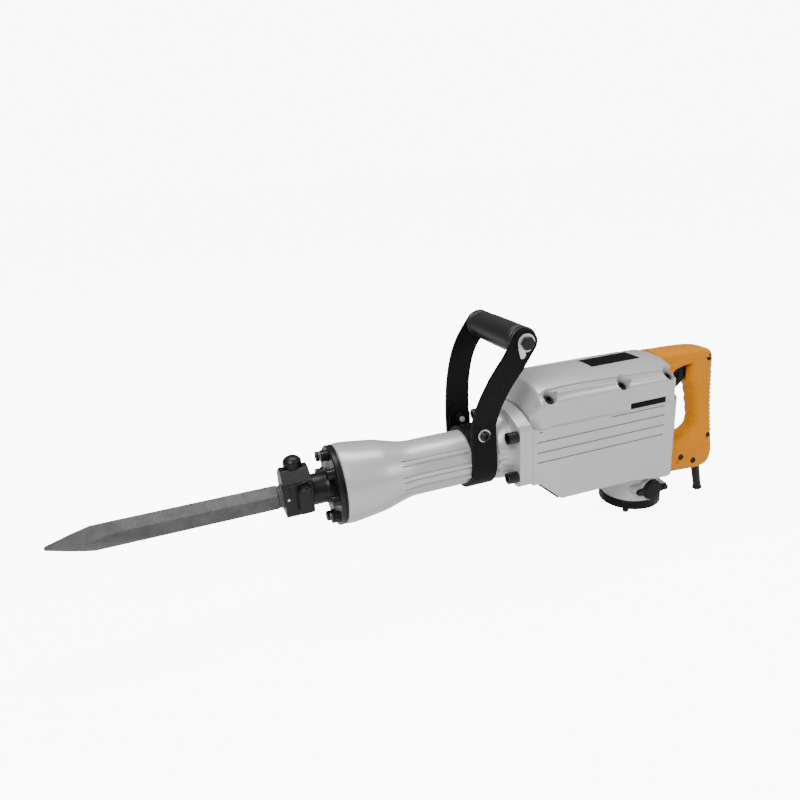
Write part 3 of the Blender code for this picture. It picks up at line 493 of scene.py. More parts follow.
def make_nose():
    half = [(20, -22), (BLOCK_HALF_WIDTH, -18), (BLOCK_HALF_WIDTH, 25), (7, 37.5)]
    nose = to_object("front_cover_body", prism(bmesh.new(), "X", mirrored(half), *BLOCK_X))
    corner = nose.modifiers.new("corner", "BEVEL")
    corner.width = 1.1 * MM
    corner.segments = 3
    bake(nose)
    collar = [(-38.4, 0), (-38.4, NOSE_NECK_RADIUS), (-19, NOSE_NECK_RADIUS), (-14.5, 22), (-11.5, 25.5),
              (-9.8, 31), (FLANGE_FRONT_X, 35), (FLANGE_FRONT_X, FLANGE_RADIUS - 1.5),
              (FLANGE_FRONT_X + 1.5, FLANGE_RADIUS), (-3.6, FLANGE_RADIUS), (-3.0, FLANGE_RADIUS - 1.2),
              (-2.4, FLANGE_RADIUS - 1.2), (-2.0, FLANGE_RADIUS - 0.2), (0, FLANGE_RADIUS - 0.2), (0, 0)]
    boolean(nose, "UNION", turned(bmesh.new(), "X", (0, 0, 0), collar, 96))
    boss = turned(bmesh.new(), "Y", (PIN_X, 0, PIN_Z), [(-24.9, 0), (-24.9, 11.5), (-20, 11.5), (-20, 0)], 40)
    boolean(nose, "UNION", boss)
    cuts = prism(bmesh.new(), "X", hexagon(HEX_FLATS + 0.7), -80, 5)
    for angle in flange_angles():
        rod(cuts, "X", around_flange(angle), FLANGE_FRONT_X - 5, 5, FLANGE_HOLE_RADIUS, 16)
    boolean(nose, "DIFFERENCE", cuts)
    boolean(nose, "DIFFERENCE", rod(bmesh.new(), "Y", (PIN_X, 0, PIN_Z), -40, 40, PIN_RADIUS + GAP, 40))
    seat = [(23, 0), (23, 4.3), (35, 4.3), (35, 12.5), (60, 12.5), (60, 0)]
    boolean(nose, "DIFFERENCE", turned(bmesh.new(), "Z", (KNOB_X, KNOB_Y, 0), seat, 48, 0.1))
    finish(nose, "black_iron", "machine", ["front_cover"], bevel=0.5, crease=20)

    hook = bmesh.new()
    path = arc((PIN_X - 11, PIN_Z + 1.5), 8.5, 200, 60, 14) + [(PIN_X + 4, PIN_Z + 12.5)]
    tube_along(hook, [(x, -BLOCK_HALF_WIDTH + 0.4, z) for x, z in path], 1.2)
    piece("nose_hook_rib", hook, "black_steel", "machine", bevel=0)
    pin = rod(bmesh.new(), "Y", (PIN_X - 21, 0, PIN_Z - 8), -BLOCK_HALF_WIDTH - 1.0, -20, 1.7, 20)
    piece("nose_roll_pin", pin, "machined_steel", "machine", bevel=0.3)


def make_stop_lever():
    pivot = (PIN_X, 0, PIN_Z)
    profile = [(-35, 0), (-35, 6.3), (-34.2, 7.4), (-33.4, 7.4), (-33.4, 9.4), (-25.4, 9.4),
               (-25.2, PIN_RADIUS), (24, PIN_RADIUS), (24, 0)]
    lever = to_object("stop_lever_body", turned(bmesh.new(), "Y", pivot, profile, 56))
    arm = [(PIN_X - 9.3, PIN_Z), (PIN_X - 9.3, -12), (PIN_X - 6, -15.5), (PIN_X + 6, -15.5),
           (PIN_X + 9.3, -12), (PIN_X + 9.3, PIN_Z)]
    boolean(lever, "UNION", prism(bmesh.new(), "Y", arm, -32, -25.6))
    waist = box(bmesh.new(), (PIN_X - 12, -16.5, PIN_Z - 4.9), (PIN_X + 12, 16.5, PIN_Z + 12))
    boolean(lever, "DIFFERENCE", waist)
    finish(lever, "black_iron", "stop_lever", ["stop_lever"], bevel=0.7)


def make_knob():
    dome = [(43.5 + 8 * math.sin(a), 12 * math.cos(a)) for a in (math.pi / 2 * i / 9 for i in range(9))]
    profile = [(24, 0), (24, 4), (35.4, 4), (35.4, 11.6), (36, 12)] + dome + [(51.5, 0)]
    body = turned(bmesh.new(), "Z", (KNOB_X, KNOB_Y, 0), profile, 48)
    piece("lock_knob_body", body, "black_iron", "lock_knob", ["lock_knob"], bevel=0.4)


def socket_bolt(name, centre, seat, head_radius, head_height, shank_radius, shank_end, washer, nodes):
    """A cap screw along X, with a hexagonal socket and, if asked, a washer of the radius given."""
    front = seat - head_height
    body = to_object(name, rod(bmesh.new(), "X", centre, front, seat, head_radius, 40))
    boolean(body, "UNION", rod(bmesh.new(), "X", centre, seat - 2, shank_end, shank_radius, 20))
    if washer:
        boolean(body, "UNION", rod(bmesh.new(), "X", centre, seat - 2.2, seat, washer, 40))
    socket = moved(hexagon(head_radius * 1.05), *centre[1:])
    boolean(body, "DIFFERENCE", prism(bmesh.new(), "X", socket, front - 3, front + head_height * 0.45))
    finish(body, "black_steel", "machine", nodes, bevel=0.6)


def make_flange_bolts():
    for number, angle in enumerate(flange_angles(), 1):
        socket_bolt(f"flange_bolt_{number}_body", around_flange(angle), FLANGE_FRONT_X - GAP,
                    6.7, 9.8, 3.8, 14, 7.6, [f"flange_bolt_{number}"])


def barrel_bolt_places():
    return [(0, side * 52.0, z) for side in (-1, 1) for z in (37.0, -22.5)]


def make_barrel_bolts():
    for number, place in enumerate(barrel_bolt_places(), 1):
        socket_bolt(f"barrel_bolt_{number}_body", place, REAR_PLATE_X[0] - GAP, 8, 15, 5, 279, 0,
                    [f"barrel_bolt_{number}"])


def barrel_rib(side, angle, section, ends):
    """A straight bar along the barrel's flank, with its section given across and out from the surface."""
    out = Vector((0, side * math.cos(angle), math.sin(angle)))
    across = Vector((0, -side * math.sin(angle), math.cos(angle)))
    return loft(bmesh.new(), [[Vector((x, 0, 0)) + out * (BARREL_RADIUS + v) + across * u for u, v in section]
                              for x in ends])


def make_barrel():
    bell = smooth_run([(2, 53.6, 0), (12, 54, 0), (30, 52, 0), (55, 48.8, 0), (70, 45, 0), (85, 40.9, 0),
                       (95, 38.9, 0), (105, BARREL_RADIUS, 0), (120, BARREL_RADIUS, 0)], 5)
    outer = [(GAP, 0), (GAP, 52.2)] + [(p.x, p.y) for p in bell] + [(250, BARREL_RADIUS), (250, 0)]
    barrel = to_object("barrel_body", turned(bmesh.new(), "X", (0, 0, 0), outer, 96))
    corners = [(215.5, 37.0, 37.0), (221, 41.5, 46), (230, 44, 52), (238, 45, 56), (245, 45, 56)]
    stations = smooth_run(corners, 4)
    sections = []
    for x, width, top in stations:
        bottom = 37 + (41 - 37) * min(1, (x - 215.5) / 12)
        sections.append([(x, width * math.cos(a), (top if math.sin(a) > 0 else bottom) * math.sin(a))
                         for a in (math.tau * i / 72 for i in range(72))])
    boolean(barrel, "UNION", loft(bmesh.new(), sections))
    half = [(54, -38), (60, -34), (60, 46), (55, 51)] + arc((0, -38), 103.5, 59.5, 84, 14)
    boolean(barrel, "UNION", prism(bmesh.new(), "X", mirrored(half), *REAR_PLATE_X))
    cuts = rod(bmesh.new(), "X", (0, 0, 0), -5, 270, BORE_RADIUS, 64)
    for angle in flange_angles():
        rod(cuts, "X", around_flange(angle), -5, 16, FLANGE_HOLE_RADIUS, 16)
    for place in barrel_bolt_places():
        step = [(215, 0), (215, 9.5), (REAR_PLATE_X[0], 9.5), (REAR_PLATE_X[0], BOLT_HOLE_RADIUS),
                (270, BOLT_HOLE_RADIUS), (270, 0)]
        turned(cuts, "X", place, step, 32)
    boolean(barrel, "DIFFERENCE", cuts)
    for side in (-1, 1):
        for degrees in RIB_ANGLES:
            for shift in (-GROOVE_OFFSET, GROOVE_OFFSET):
                groove = moved(GROOVE_SECTION, shift, 0)
                boolean(barrel, "DIFFERENCE", barrel_rib(side, math.radians(degrees), groove, GROOVE_X))
    finish(barrel, "silver_paint", "machine", ["barrel"], bevel=0.9, segments=3)
    for name, side in SIDES:
        for number, degrees in enumerate(RIB_ANGLES, 1):
            rib = barrel_rib(side, math.radians(degrees), RIB_SECTION, RIB_X)
            piece(f"barrel_rib_{name}_{number}", rib, "silver_paint", "machine", bevel=0.5, segments=3)

    ribs = bmesh.new()
    for side in (-1, 1):
        for z in (14, 0, -14):
            width = 44.4 * math.sqrt(1 - (z / 44) ** 2)
            low, high = span(side, width - 6, width + 1)
            box(ribs, (219, low, z - 3.2), (REAR_PLATE_X[0] + 0.5, high, z + 3.2))
    piece("lobe_ribs", ribs, "silver_paint", "machine", bevel=1.2, segments=3)


def make_case():
    side_view = [(CASE_FRONT_X, -38), (271, -38), (307, -69), (430, -70), (CASE_REAR_X, -82),
                 (CASE_REAR_X, SEAM_Z), (CASE_FRONT_X, SEAM_Z)]
    case = to_object("crank_case_body", prism(bmesh.new(), "Y", side_view, -CASE_HALF_WIDTH, CASE_HALF_WIDTH))
    half_plan = [(250, -64), (476, -64), (484, -60.5)] + arc((484, -25), 35, -88, -8, 12)
    plan = half_plan + [(x, -y) for x, y in reversed(half_plan)]
    boolean(case, "INTERSECT", prism(bmesh.new(), "Z", plan, -100, 60))
    edge = case.modifiers.new("edge", "BEVEL")
    edge.width = 3.0 * MM
    edge.segments = 4
    edge.limit_method = "ANGLE"
    edge.angle_limit = math.radians(50)
    bake(case)
    boolean(case, "UNION", rod(bmesh.new(), "Z", (MOTOR_X, 0, 0), MOTOR_END_Z, -50, MOTOR_RADIUS, 96))
    boolean(case, "UNION", prism(bmesh.new(), "Y", eared_outline(18.5, 30, 6.5), -49, 49))
    floor = [(268, -31), (273, -31), (307, -60), (421, -60), (421, 50), (268, 50)]
    boolean(case, "DIFFERENCE", prism(bmesh.new(), "Y", floor, -38, 38))
    boolean(case, "DIFFERENCE", rod(bmesh.new(), "X", (0, 0, 0), 250, 275, BORE_RADIUS, 48))
    bore = [(-130, 0), (-130, 41), (18, 41), (18, 16.3), (38.5, 16.3), (38.5, 8), (50, 8), (50, 0)]
    boolean(case, "DIFFERENCE", turned(bmesh.new(), "Z", (MOTOR_X, 0, 0), bore, 64))
    grooves = bmesh.new()
    for side in (-1, 1):
        low, high = span(side, 57.2, 63)
        for x0, x1, z in ((266, 480, 25), (266, 480, 9.3), (266, 479, -5.5), (386, 478, 39.6)):
            slot = [(x0, z), (x0 + 1.5, z - 1), (x1 - 1.5, z - 1),
                    (x1, z), (x1 - 1.5, z + 1), (x0 + 1.5, z + 1)]
            prism(grooves, "Y", slot, low, high)
        box(grooves, (269, low, 38.6), (275.5, high, 40.4))
    boolean(case, "DIFFERENCE", grooves)
    holes = bmesh.new()
    for side in (-1, 1):
        rod(holes, "Y", (MOTOR_X, 0, BRUSH_Z), *span(side, 25, 60), 7, 24, 0.2)
        for x, y in COVER_SCREWS:
            rod(holes, "Z", (x, side * y, 0), 24, 60, SCREW_HOLE_RADIUS, 16, 0.1)
    for place in barrel_bolt_places():
        rod(holes, "X", place, 250, 281, BOLT_HOLE_RADIUS, 16, 0.1)
    boolean(case, "DIFFERENCE", holes)
    finish(case, "silver_paint", "machine", ["crank_case"], bevel=0.5)

    strip = [(276, -43.2), (306.5, -69.6), (309, -70.9), (309, -71.6), (305, -71.4), (274.5, -44.5)]
    piece("bottom_strip", prism(bmesh.new(), "Y", strip, -52, 52), "black_plastic", "machine", bevel=0.4)


def hood_section(x, lift, inset, width=1.0):
    """The crank cover's cross-section: upright sides, a sloping shoulder and a crowned top."""
    half = [(59.5, 0), (59.5, 10), (59.5, 33), (59.0, 36), (57.6, 39.5), (55.8, 42.4), (53.4, 45.2),
            (50.8, 47.6), (49.8, 48.8), (46, 51), (41, 53.2), (34, 55.6), (26, 57.8), (18, 59.2), (9, 60.0),
            (2, 60.2)]
    half = [((y - inset if y > 20 else y * (1 - inset / 90)) * width, z - (inset if z > 20 else 0))
            for y, z in half]
    return [(x, y, SEAM_Z + GAP + z * lift) for y, z in mirrored(half)]


def make_hood():
    shape = [(HOOD_X[0], 0.40, 0.77), (263.2, 0.455, 0.785), (272.6, 0.865, 0.955), (274.4, 0.912, 0.984),
             (277.5, 0.938, 1.0), (285, 0.965, 1.0), (296, 0.985, 1.0), (315, 0.998, 1.0), (340, 1.0, 1.0),
             (485, 1.0, 1.0), (492, 0.995, 1.0), (HOOD_X[1], 0.975, 0.995)]
    hood = to_object("crank_cover_body", loft(bmesh.new(), [hood_section(x, k, 0, w) for x, k, w in shape]))
    ring = [(-22, 0), (-22, 5), (-12, 9.4), (-2.0, 11.4), (-0.6, 11.1), (0, 10.1), (0, 0)]
    for place, side in tilted_places():
        boolean(hood, "UNION", tilted(turned(bmesh.new(), "Z", (0, 0, 0), ring, 40, 0.1), place, side))
    inner = [hood_section(x + 6, k, 5.0, w) for x, k, w in shape if x < 480] + [hood_section(491, 0.985, 5.0)]
    inner = [[(x, y, z if z > SEAM_Z + 1 else SEAM_Z - 3) for x, y, z in section] for section in inner]
    hollow = to_object("hollow", loft(bmesh.new(), inner))
    posts = bmesh.new()
    for x, y in COVER_SCREWS:
        for side in (-1, 1):
            rod(posts, "Z", (x, side * y, 0), 30, 120, 13.5, 32)
    boolean(hollow, "DIFFERENCE", posts)
    cavity = hood.modifiers.new("cavity", "BOOLEAN")
    cavity.object = hollow
    bake(hood)
    bpy.data.objects.remove(hollow)
    for place, side in tilted_places():
        boolean(hood, "DIFFERENCE", pocket_cutter(place, side))
    shanks = bmesh.new()
    for x, y in COVER_SCREWS:
        for side in (-1, 1):
            rod(shanks, "Z", (x, side * y, 0), 30, COVER_SCREW_SEAT_Z - 4, SCREW_HOLE_RADIUS, 20, 0.1)
    boolean(hood, "DIFFERENCE", shanks)
    boolean(hood, "DIFFERENCE", box(bmesh.new(), (381.5, -16.8, 101.6), (464.5, 16.8, 120)))
    marks = bmesh.new()
    for side in (-1, 1):
        low, high = span(side, 58.6, 63)
        box(marks, (418.5, low, 44.4), (479.5, high, 53.4))
        box(marks, (289, low, 44.4), (379.5, high, 45.7))
    boolean(hood, "DIFFERENCE", marks)
    finish(hood, "silver_paint", "machine", ["crank_cover"], bevel=1.0, segments=3)

    lower = [(274.5, 54.5, 78), (279, 55.2, 84), (286, 54.6, 88.6), (300, 53.8, 90.6), (330, 53.6, 90.8),
             (370, 54.6, 89.6), (410, 56.0, 87.6), (445, 57.2, 85.4), (476, 57.8, 83.4)]
    upper = [(277, 49.5, 90.5), (284, 48.2, 94.2), (300, 47.0, 95.6), (340, 46.6, 95.8), (400, 48.2, 94.8),
             (450, 49.6, 93.6), (490, 50.2, 92.8)]
    for name, side in SIDES:
        for line, points, radius in (("lower", lower, 2.6), ("upper", upper, 1.5)):
            run = smooth_run([(x, side * (y - radius * 0.35), z - radius * 0.35) for x, y, z in points], 5)
            ridge = to_object(f"hood_ridge_{line}_{name}", tube_along(bmesh.new(), run, radius, 16))
            for place, where in tilted_places():
                if where == side:
                    boolean(ridge, "DIFFERENCE", pocket_cutter(place, side))
            finish(ridge, "silver_paint", "machine", bevel=0)
        low, high = span(side, 58.7, 59.6)
        plate = box(bmesh.new(), (419, low, 44.9), (479, high, 52.9))
        piece(f"side_plate_{name}", plate, "blank_plate", "machine", bevel=0.25)
    plate = box(bmesh.new(), (382, -16.3, 101.9), (464, 16.3, 103.6))
    piece("top_plate_body", plate, "blank_plate", "machine", ["top_plate"], bevel=0.35)

    for number, (place, side) in enumerate(tilted_places(), 1):
        head = [(-13.5, 0), (-13.5, 3.2), (-9.2, 3.2), (-9.2, 6.2), (-2.2, 6.2), (-2.2, 0)]
        body = turned(bmesh.new(), "Z", (0, 0, 0), head, 36)
        screw = to_object(f"cover_screw_{number}_body", tilted(body, place, side))
        socket = prism(bmesh.new(), "Z", hexagon(6.0), -6.4, 2)
        boolean(screw, "DIFFERENCE", tilted(socket, place, side))
        finish(screw, "black_steel", "machine", [f"cover_screw_{number}"], bevel=0.6)


def tilted_places():
    """Where each cover screw's boss opens, left side first, as a point and a side."""
    return [((x, side * (y - 1.2), top), side) for side in (-1, 1)
            for (x, y), top in zip(COVER_SCREWS, COVER_BOSS_TOPS)]


def pocket_cutter(place, side):
    """The open well over a cover screw, which flares upwards out of the cover."""
    well = [(-9.5, 0), (-9.5, 8.2), (-1, 8.8), (8, 12), (22, 15), (22, 0)]
    return tilted(turned(bmesh.new(), "Z", (0, 0, 0), well, 36, 0.13), place, side)


def tilted(bm, place, side):
    """Sets a body made on the Z axis at a cover screw's boss, leaning out to the side."""
    bmesh.ops.rotate(bm, verts=bm.verts, cent=Vector(), matrix=Matrix.Rotation(-side * SCREW_LEAN, 3, "X"))
    bmesh.ops.translate(bm, verts=bm.verts, vec=Vector(place))
    return bm


def eared_outline(radius, reach, half_height):
    """A disc with a screw ear at each side, round the brush holder's axis."""
    first = math.degrees(math.asin(half_height / radius)) + 4
    right = arc((0, 0), radius, first - 180, -first, 28)
    right += arc((reach - half_height, 0), half_height, -80, 80, 12)
    return moved(right + [(-x, -z) for x, z in right], MOTOR_X, BRUSH_Z)


def make_motor_end():
    axis = (MOTOR_X, 0, 0)
    low, top = COVER_LOW_Z, MOTOR_END_Z - GAP
    cover = [(low, 0), (low, 44), (low + 0.8, 46), (low + 1.8, 46.8), (-122.4, 46.8), (-121.8, 46.2),
             (top, 46.2), (top, 16), (-118, 16), (-118, 11.3), (-130.5, 11.3), (-130.5, 0)]
    shell = to_object("motor_cover_body", turned(bmesh.new(), "Z", axis, cover, 96))
    vents = bmesh.new()
    for step in range(VENT_COUNT):
        angle = math.tau * (step + 0.5) / VENT_COUNT
        direction = Vector((math.cos(angle), math.sin(angle), 0))
        side = Vector((-direction.y, direction.x, 0))
        sections = []
        for reach, wide in ((22, 1.6), (36, 2.2)):
            spot = Vector(axis) + direction * reach
            corners = ((wide, low - 2), (-wide, low - 2), (-wide, low + 3), (wide, low + 3))
            sections.append([spot + side * u + Vector((0, 0, z)) for u, z in corners])
        loft(vents, sections)
    boolean(shell, "DIFFERENCE", vents)
    finish(shell, "black_plastic", "machine", ["motor_cover"], bevel=0.4)
    for step in range(4):
        angle = math.radians(45 + 90 * step)
        spot = (MOTOR_X + FOOT_CIRCLE * math.cos(angle), FOOT_CIRCLE * math.sin(angle), 0)
        profile = [(low - 6.5, 0), (low - 6.5, 2), (low - 6.0, 4.4), (low - 1, 5), (low + 1, 5), (low + 1, 0)]
        foot = turned(bmesh.new(), "Z", spot, profile, 24)
        piece(f"cover_foot_{step + 1}", foot, "black_steel", "machine", bevel=0.3)

    outline = eared_outline(16.2, 28, 4.8)
    for name, side in SIDES:
        brush = (MOTOR_X, 0, BRUSH_Z)
        cap = to_object(f"brush_cap_{name}_body", prism(bmesh.new(), "Y", outline, *span(side, 49.3, 53.2)))
        dome = sided(side, [(50, 0), (50, 14.6), (53, 14.6), (54, 13.8), (54.5, 12.4), (54.5, 0)])
        boolean(cap, "UNION", turned(bmesh.new(), "Y", brush, dome, 56))
        finish(cap, "black_plastic", "machine", [f"brush_cap_{name}"], bevel=0.6)
        ring = sided(side, [(46, 18.3), (49.9, 18.3), (49.9, 16.6), (46, 16.6)])
        rim = turned(bmesh.new(), "Y", brush, ring, 56)
        piece(f"brush_rim_{name}", rim, "silver_paint", "machine", bevel=0.4)
        for end, shift in (("front", -23), ("rear", 23)):
            spot = (MOTOR_X + shift, 0, BRUSH_Z)
            head = sided(side, [(52, 0), (52, 4.6), (54.6, 4.4), (55.8, 3.2), (55.8, 0)])
            screw = to_object(f"brush_screw_{name}_{end}", turned(bmesh.new(), "Y", spot, head, 28))
            cross = bmesh.new()
            deep, out = span(side, 54.4, 58)
            box(cross, (spot[0] - 2.6, deep, BRUSH_Z - 0.6), (spot[0] + 2.6, out, BRUSH_Z + 0.6))
            boolean(screw, "DIFFERENCE", cross)
            finish(screw, "black_steel", "machine", bevel=0.3)


def strap_path(side):
    line = [(196, 0, 0), (195.5, 30, 0), (195.5, 56, 0), (198, 74, 4), (203, 96, 10.5), (213, 123, 19),
            (226, 146, GRIP_FLARE), (GRIP_X, GRIP_Z, GRIP_FLARE)]
    run = smooth_run(line, 5)
    return [(p.x, p.y, side * (STRAP_INNER + min(max(p.z, 0), GRIP_FLARE))) for p in run]


def make_side_handle():
    sections = []
    thick = STRAP_THICKNESS

    def station(across, inner, outer, width):
        sections.append([Vector(point) + across * (sign * width / 2)
                         for point, sign in ((inner, -1), (inner, 1), (outer, 1), (outer, -1))])

    def arm(side):
        path = strap_path(side)
        made = []
        for i, (x, z, y) in enumerate(path):
            low, high = path[max(i - 1, 0)], path[min(i + 1, len(path) - 1)]
            tangent = Vector((high[0] - low[0], 0, high[1] - low[1])).normalized()
            across = Vector((tangent.z, 0, -tangent.x))
            made.append((Vector((x, y, z)), across, STRAP_WIDTH - 2.8 * i / (len(path) - 1)))
        end, across, width = made[-1]
        tangent = Vector((-across.z, 0, across.x))
        for angle in range(8, 88, 8):
            a = math.radians(angle)
            made.append((end + tangent * (width / 2 * math.sin(a)), across, width * math.cos(a)))
        return made

    for point, across, width in reversed(arm(-1)):
        station(across, point, point + Vector((0, -thick, 0)), width)
    for step in range(1, 40):
        a = math.pi + math.pi * step / 40
        radial = Vector((0, math.cos(a), math.sin(a)))
        centre = Vector((STRAP_X, 0, 0))
        station(Vector((1, 0, 0)), centre + radial * STRAP_INNER, centre + radial * (STRAP_INNER + thick),
                STRAP_WIDTH)
    for point, across, width in arm(1):
        station(across, point, point + Vector((0, thick, 0)), width)
    strap = to_object("handle_strap_body", loft(bmesh.new(), sections))
    holes = rod(bmesh.new(), "Y", CLAMP_AXIS, -60, 60, BOLT_HOLE_RADIUS, 32)
    rod(holes, "Y", (GRIP_X, 0, GRIP_Z), -90, 90, 6.4, 32)
    boolean(strap, "DIFFERENCE", holes)
    finish(strap, "black_strap", "side_handle", ["handle_strap"], bevel=0.9, segments=3, angle=40)

    face, back = STRAP_INNER - GAP, STRAP_INNER - GAP - thick
    low_ring, high_ring = BARREL_RADIUS + 3 * GAP, BARREL_RADIUS + 3 * GAP + thick
    start = math.degrees(math.acos(back / low_ring))
    bend = math.degrees(math.acos(back / high_ring))
    outline = arc((0, 0), low_ring, 180 - start, start, 40)
    outline += [(face, 21), (face, TAB_TOP_Z), (back, TAB_TOP_Z)]
    outline += arc((0, 0), high_ring, bend, 180 - bend, 40)
    outline += [(-back, TAB_TOP_Z), (-face, TAB_TOP_Z), (-face, 21)]
    saddle = to_object("handle_saddle_body", prism(bmesh.new(), "X", outline, STRAP_X - 16, STRAP_X + 16))
    keep = [(STRAP_X - 17, 0), (STRAP_X + 17, 0)] + arc((STRAP_X, TAB_TOP_Z - 16), 16, 0, 180, 24)
    boolean(saddle, "INTERSECT", prism(bmesh.new(), "Y", keep, -60, 60))
    boolean(saddle, "DIFFERENCE", rod(bmesh.new(), "Y", CLAMP_AXIS, -60, 60, BOLT_HOLE_RADIUS, 32))
    finish(saddle, "black_strap", "side_handle", ["handle_saddle"], bevel=0.7)

    for name, side in SIDES:
        centre = CLAMP_AXIS
        seat = STRAP_INNER + thick + GAP
        nut = back - GAP
        profile = sided(side, [(seat, 5.2), (seat, 9), (seat + 1.3, 8.8), (seat + 1.3, 5.2)])
        washer = turned(bmesh.new(), "Y", centre, profile, 40)
        piece(f"clamp_washer_{name}", washer, "machined_steel", "side_handle", bevel=0.3)
        profile = sided(side, [(nut - 9, 0), (nut - 9, 4.4), (nut - 8, 5), (seat, 5), (seat + 1.4, 5),
                               (seat + 1.4, 7.2), (seat + 4.6, 7.0), (seat + 5.5, 6.0), (seat + 5.5, 0)])
        bolt = to_object(f"clamp_bolt_{name}_body", turned(bmesh.new(), "Y", centre, profile, 40))
        socket = moved(hexagon(6.5), centre[0], CLAMP_Z)
        boolean(bolt, "DIFFERENCE", prism(bmesh.new(), "Y", socket, *span(side, seat + 2.5, seat + 9)))
        hex_nut = moved(hexagon(15), centre[0], CLAMP_Z)
        boolean(bolt, "UNION", prism(bmesh.new(), "Y", hex_nut, *span(side, nut - 6.5, nut)))
        finish(bolt, "black_steel", "side_handle", [f"clamp_bolt_{name}"], bevel=0.5)
        end = rod(bmesh.new(), "Y", centre, *span(side, nut - 10.5, nut - 8.6), 3.9, 24)
        piece(f"clamp_end_{name}", end, "machined_steel", "side_handle", bevel=0.5)

    make_grip()


def make_grip():
    centre = (GRIP_X, 0, GRIP_Z)
    reach = STRAP_INNER + GRIP_FLARE - 2 * GAP
    r = GRIP_RADIUS
    half = [(reach, 6.6), (reach, r - 1.5), (reach - 1, r), (reach - 4, r), (reach - 5, r - 1.8),
            (reach - 7, r - 1.8), (reach - 8, r - 0.2), (reach - 10, r - 0.2), (reach - 11, r - 1.2),
            (reach - 12.5, r - 1.2), (reach - 13.5, r - 0.3), (20, r)]
    profile = mirrored(half)
    piece("side_grip_body", turned(bmesh.new(), "Y", centre, profile, 72), "grip_rubber", "side_handle",
          ["side_grip"], bevel=0.5)

    seat = STRAP_INNER + GRIP_FLARE + STRAP_THICKNESS + GAP
    core = to_object("grip_rod_body", rod(bmesh.new(), "Y", centre, -seat - 1, seat + 1, 6, 32))
    for side in (-1, 1):
        outline = moved(hexagon(16, False), GRIP_X, GRIP_Z)
        boolean(core, "UNION", prism(bmesh.new(), "Y", outline, *span(side, seat + 0.5, seat + 7.5)))
    finish(core, "black_steel", "side_handle", ["grip_rod"], bevel=0.8)
    for name, side in SIDES:
        profile = sided(side, [(seat, 6.2), (seat, 12), (seat + 1.6, 12), (seat + 1.6, 6.2)])
        washer = turned(bmesh.new(), "Y", centre, profile, 40)
        piece(f"grip_washer_{name}", washer, "machined_steel", "side_handle", bevel=0.3)
        tab = [(GRIP_X - 5, GRIP_Z - 8)] + arc((GRIP_X - 6, GRIP_Z - 15), 5, 60, -120, 10)
        tab.append((GRIP_X - 12, GRIP_Z - 5))
        lock = prism(bmesh.new(), "Y", tab, *span(side, seat, seat + 1.5))
        piece(f"grip_lock_tab_{name}", lock, "machined_steel", "side_handle", bevel=0.3)


def lean(bm):
    """Sets a body made on the Z axis, with its end at the origin, along the slanting cord guard."""
    bmesh.ops.rotate(bm, verts=bm.verts, cent=Vector(), matrix=Matrix.Rotation(-GUARD_TILT, 3, "Y"))
    bmesh.ops.translate(bm, verts=bm.verts, vec=Vector((GUARD_END_X, 0, GUARD_END_Z)))
    return bm


def handle_half(side):
    """One half of the rear handle, lofted down its C from the top arm round the grip to the lower arm."""
    outers, inners, widths, squares = zip(*HANDLE_STATIONS)
    rows = [smooth_run([(u, v, 0) for u, v in column], HANDLE_STEPS)
            for column in (outers, inners, zip(widths, squares))]
    sections = []
    for outer, inner, (width, square, _) in zip(*rows):
        gripped = inner.x > 570 and FINGER_BUMPS[0] < inner.y < FINGER_BUMPS[1]
        across = inner.x + (FINGER_DEPTH * math.cos(inner.y * math.tau / FINGER_PITCH) if gripped else 0)
        section = []
        for step in range(HANDLE_ARC_STEPS + 1):
            angle = math.pi * step / HANDLE_ARC_STEPS
            share = 0.5 + 0.5 * math.copysign(abs(math.cos(angle)) ** square, math.cos(angle))
            y = GAP / 2 + (width - GAP / 2) * max(0, math.sin(angle)) ** square
            section.append((across + (outer.x - across) * share, side * y,
                            inner.y + (outer.y - inner.y) * share))
        sections.append(section)
    return loft(bmesh.new(), sections)


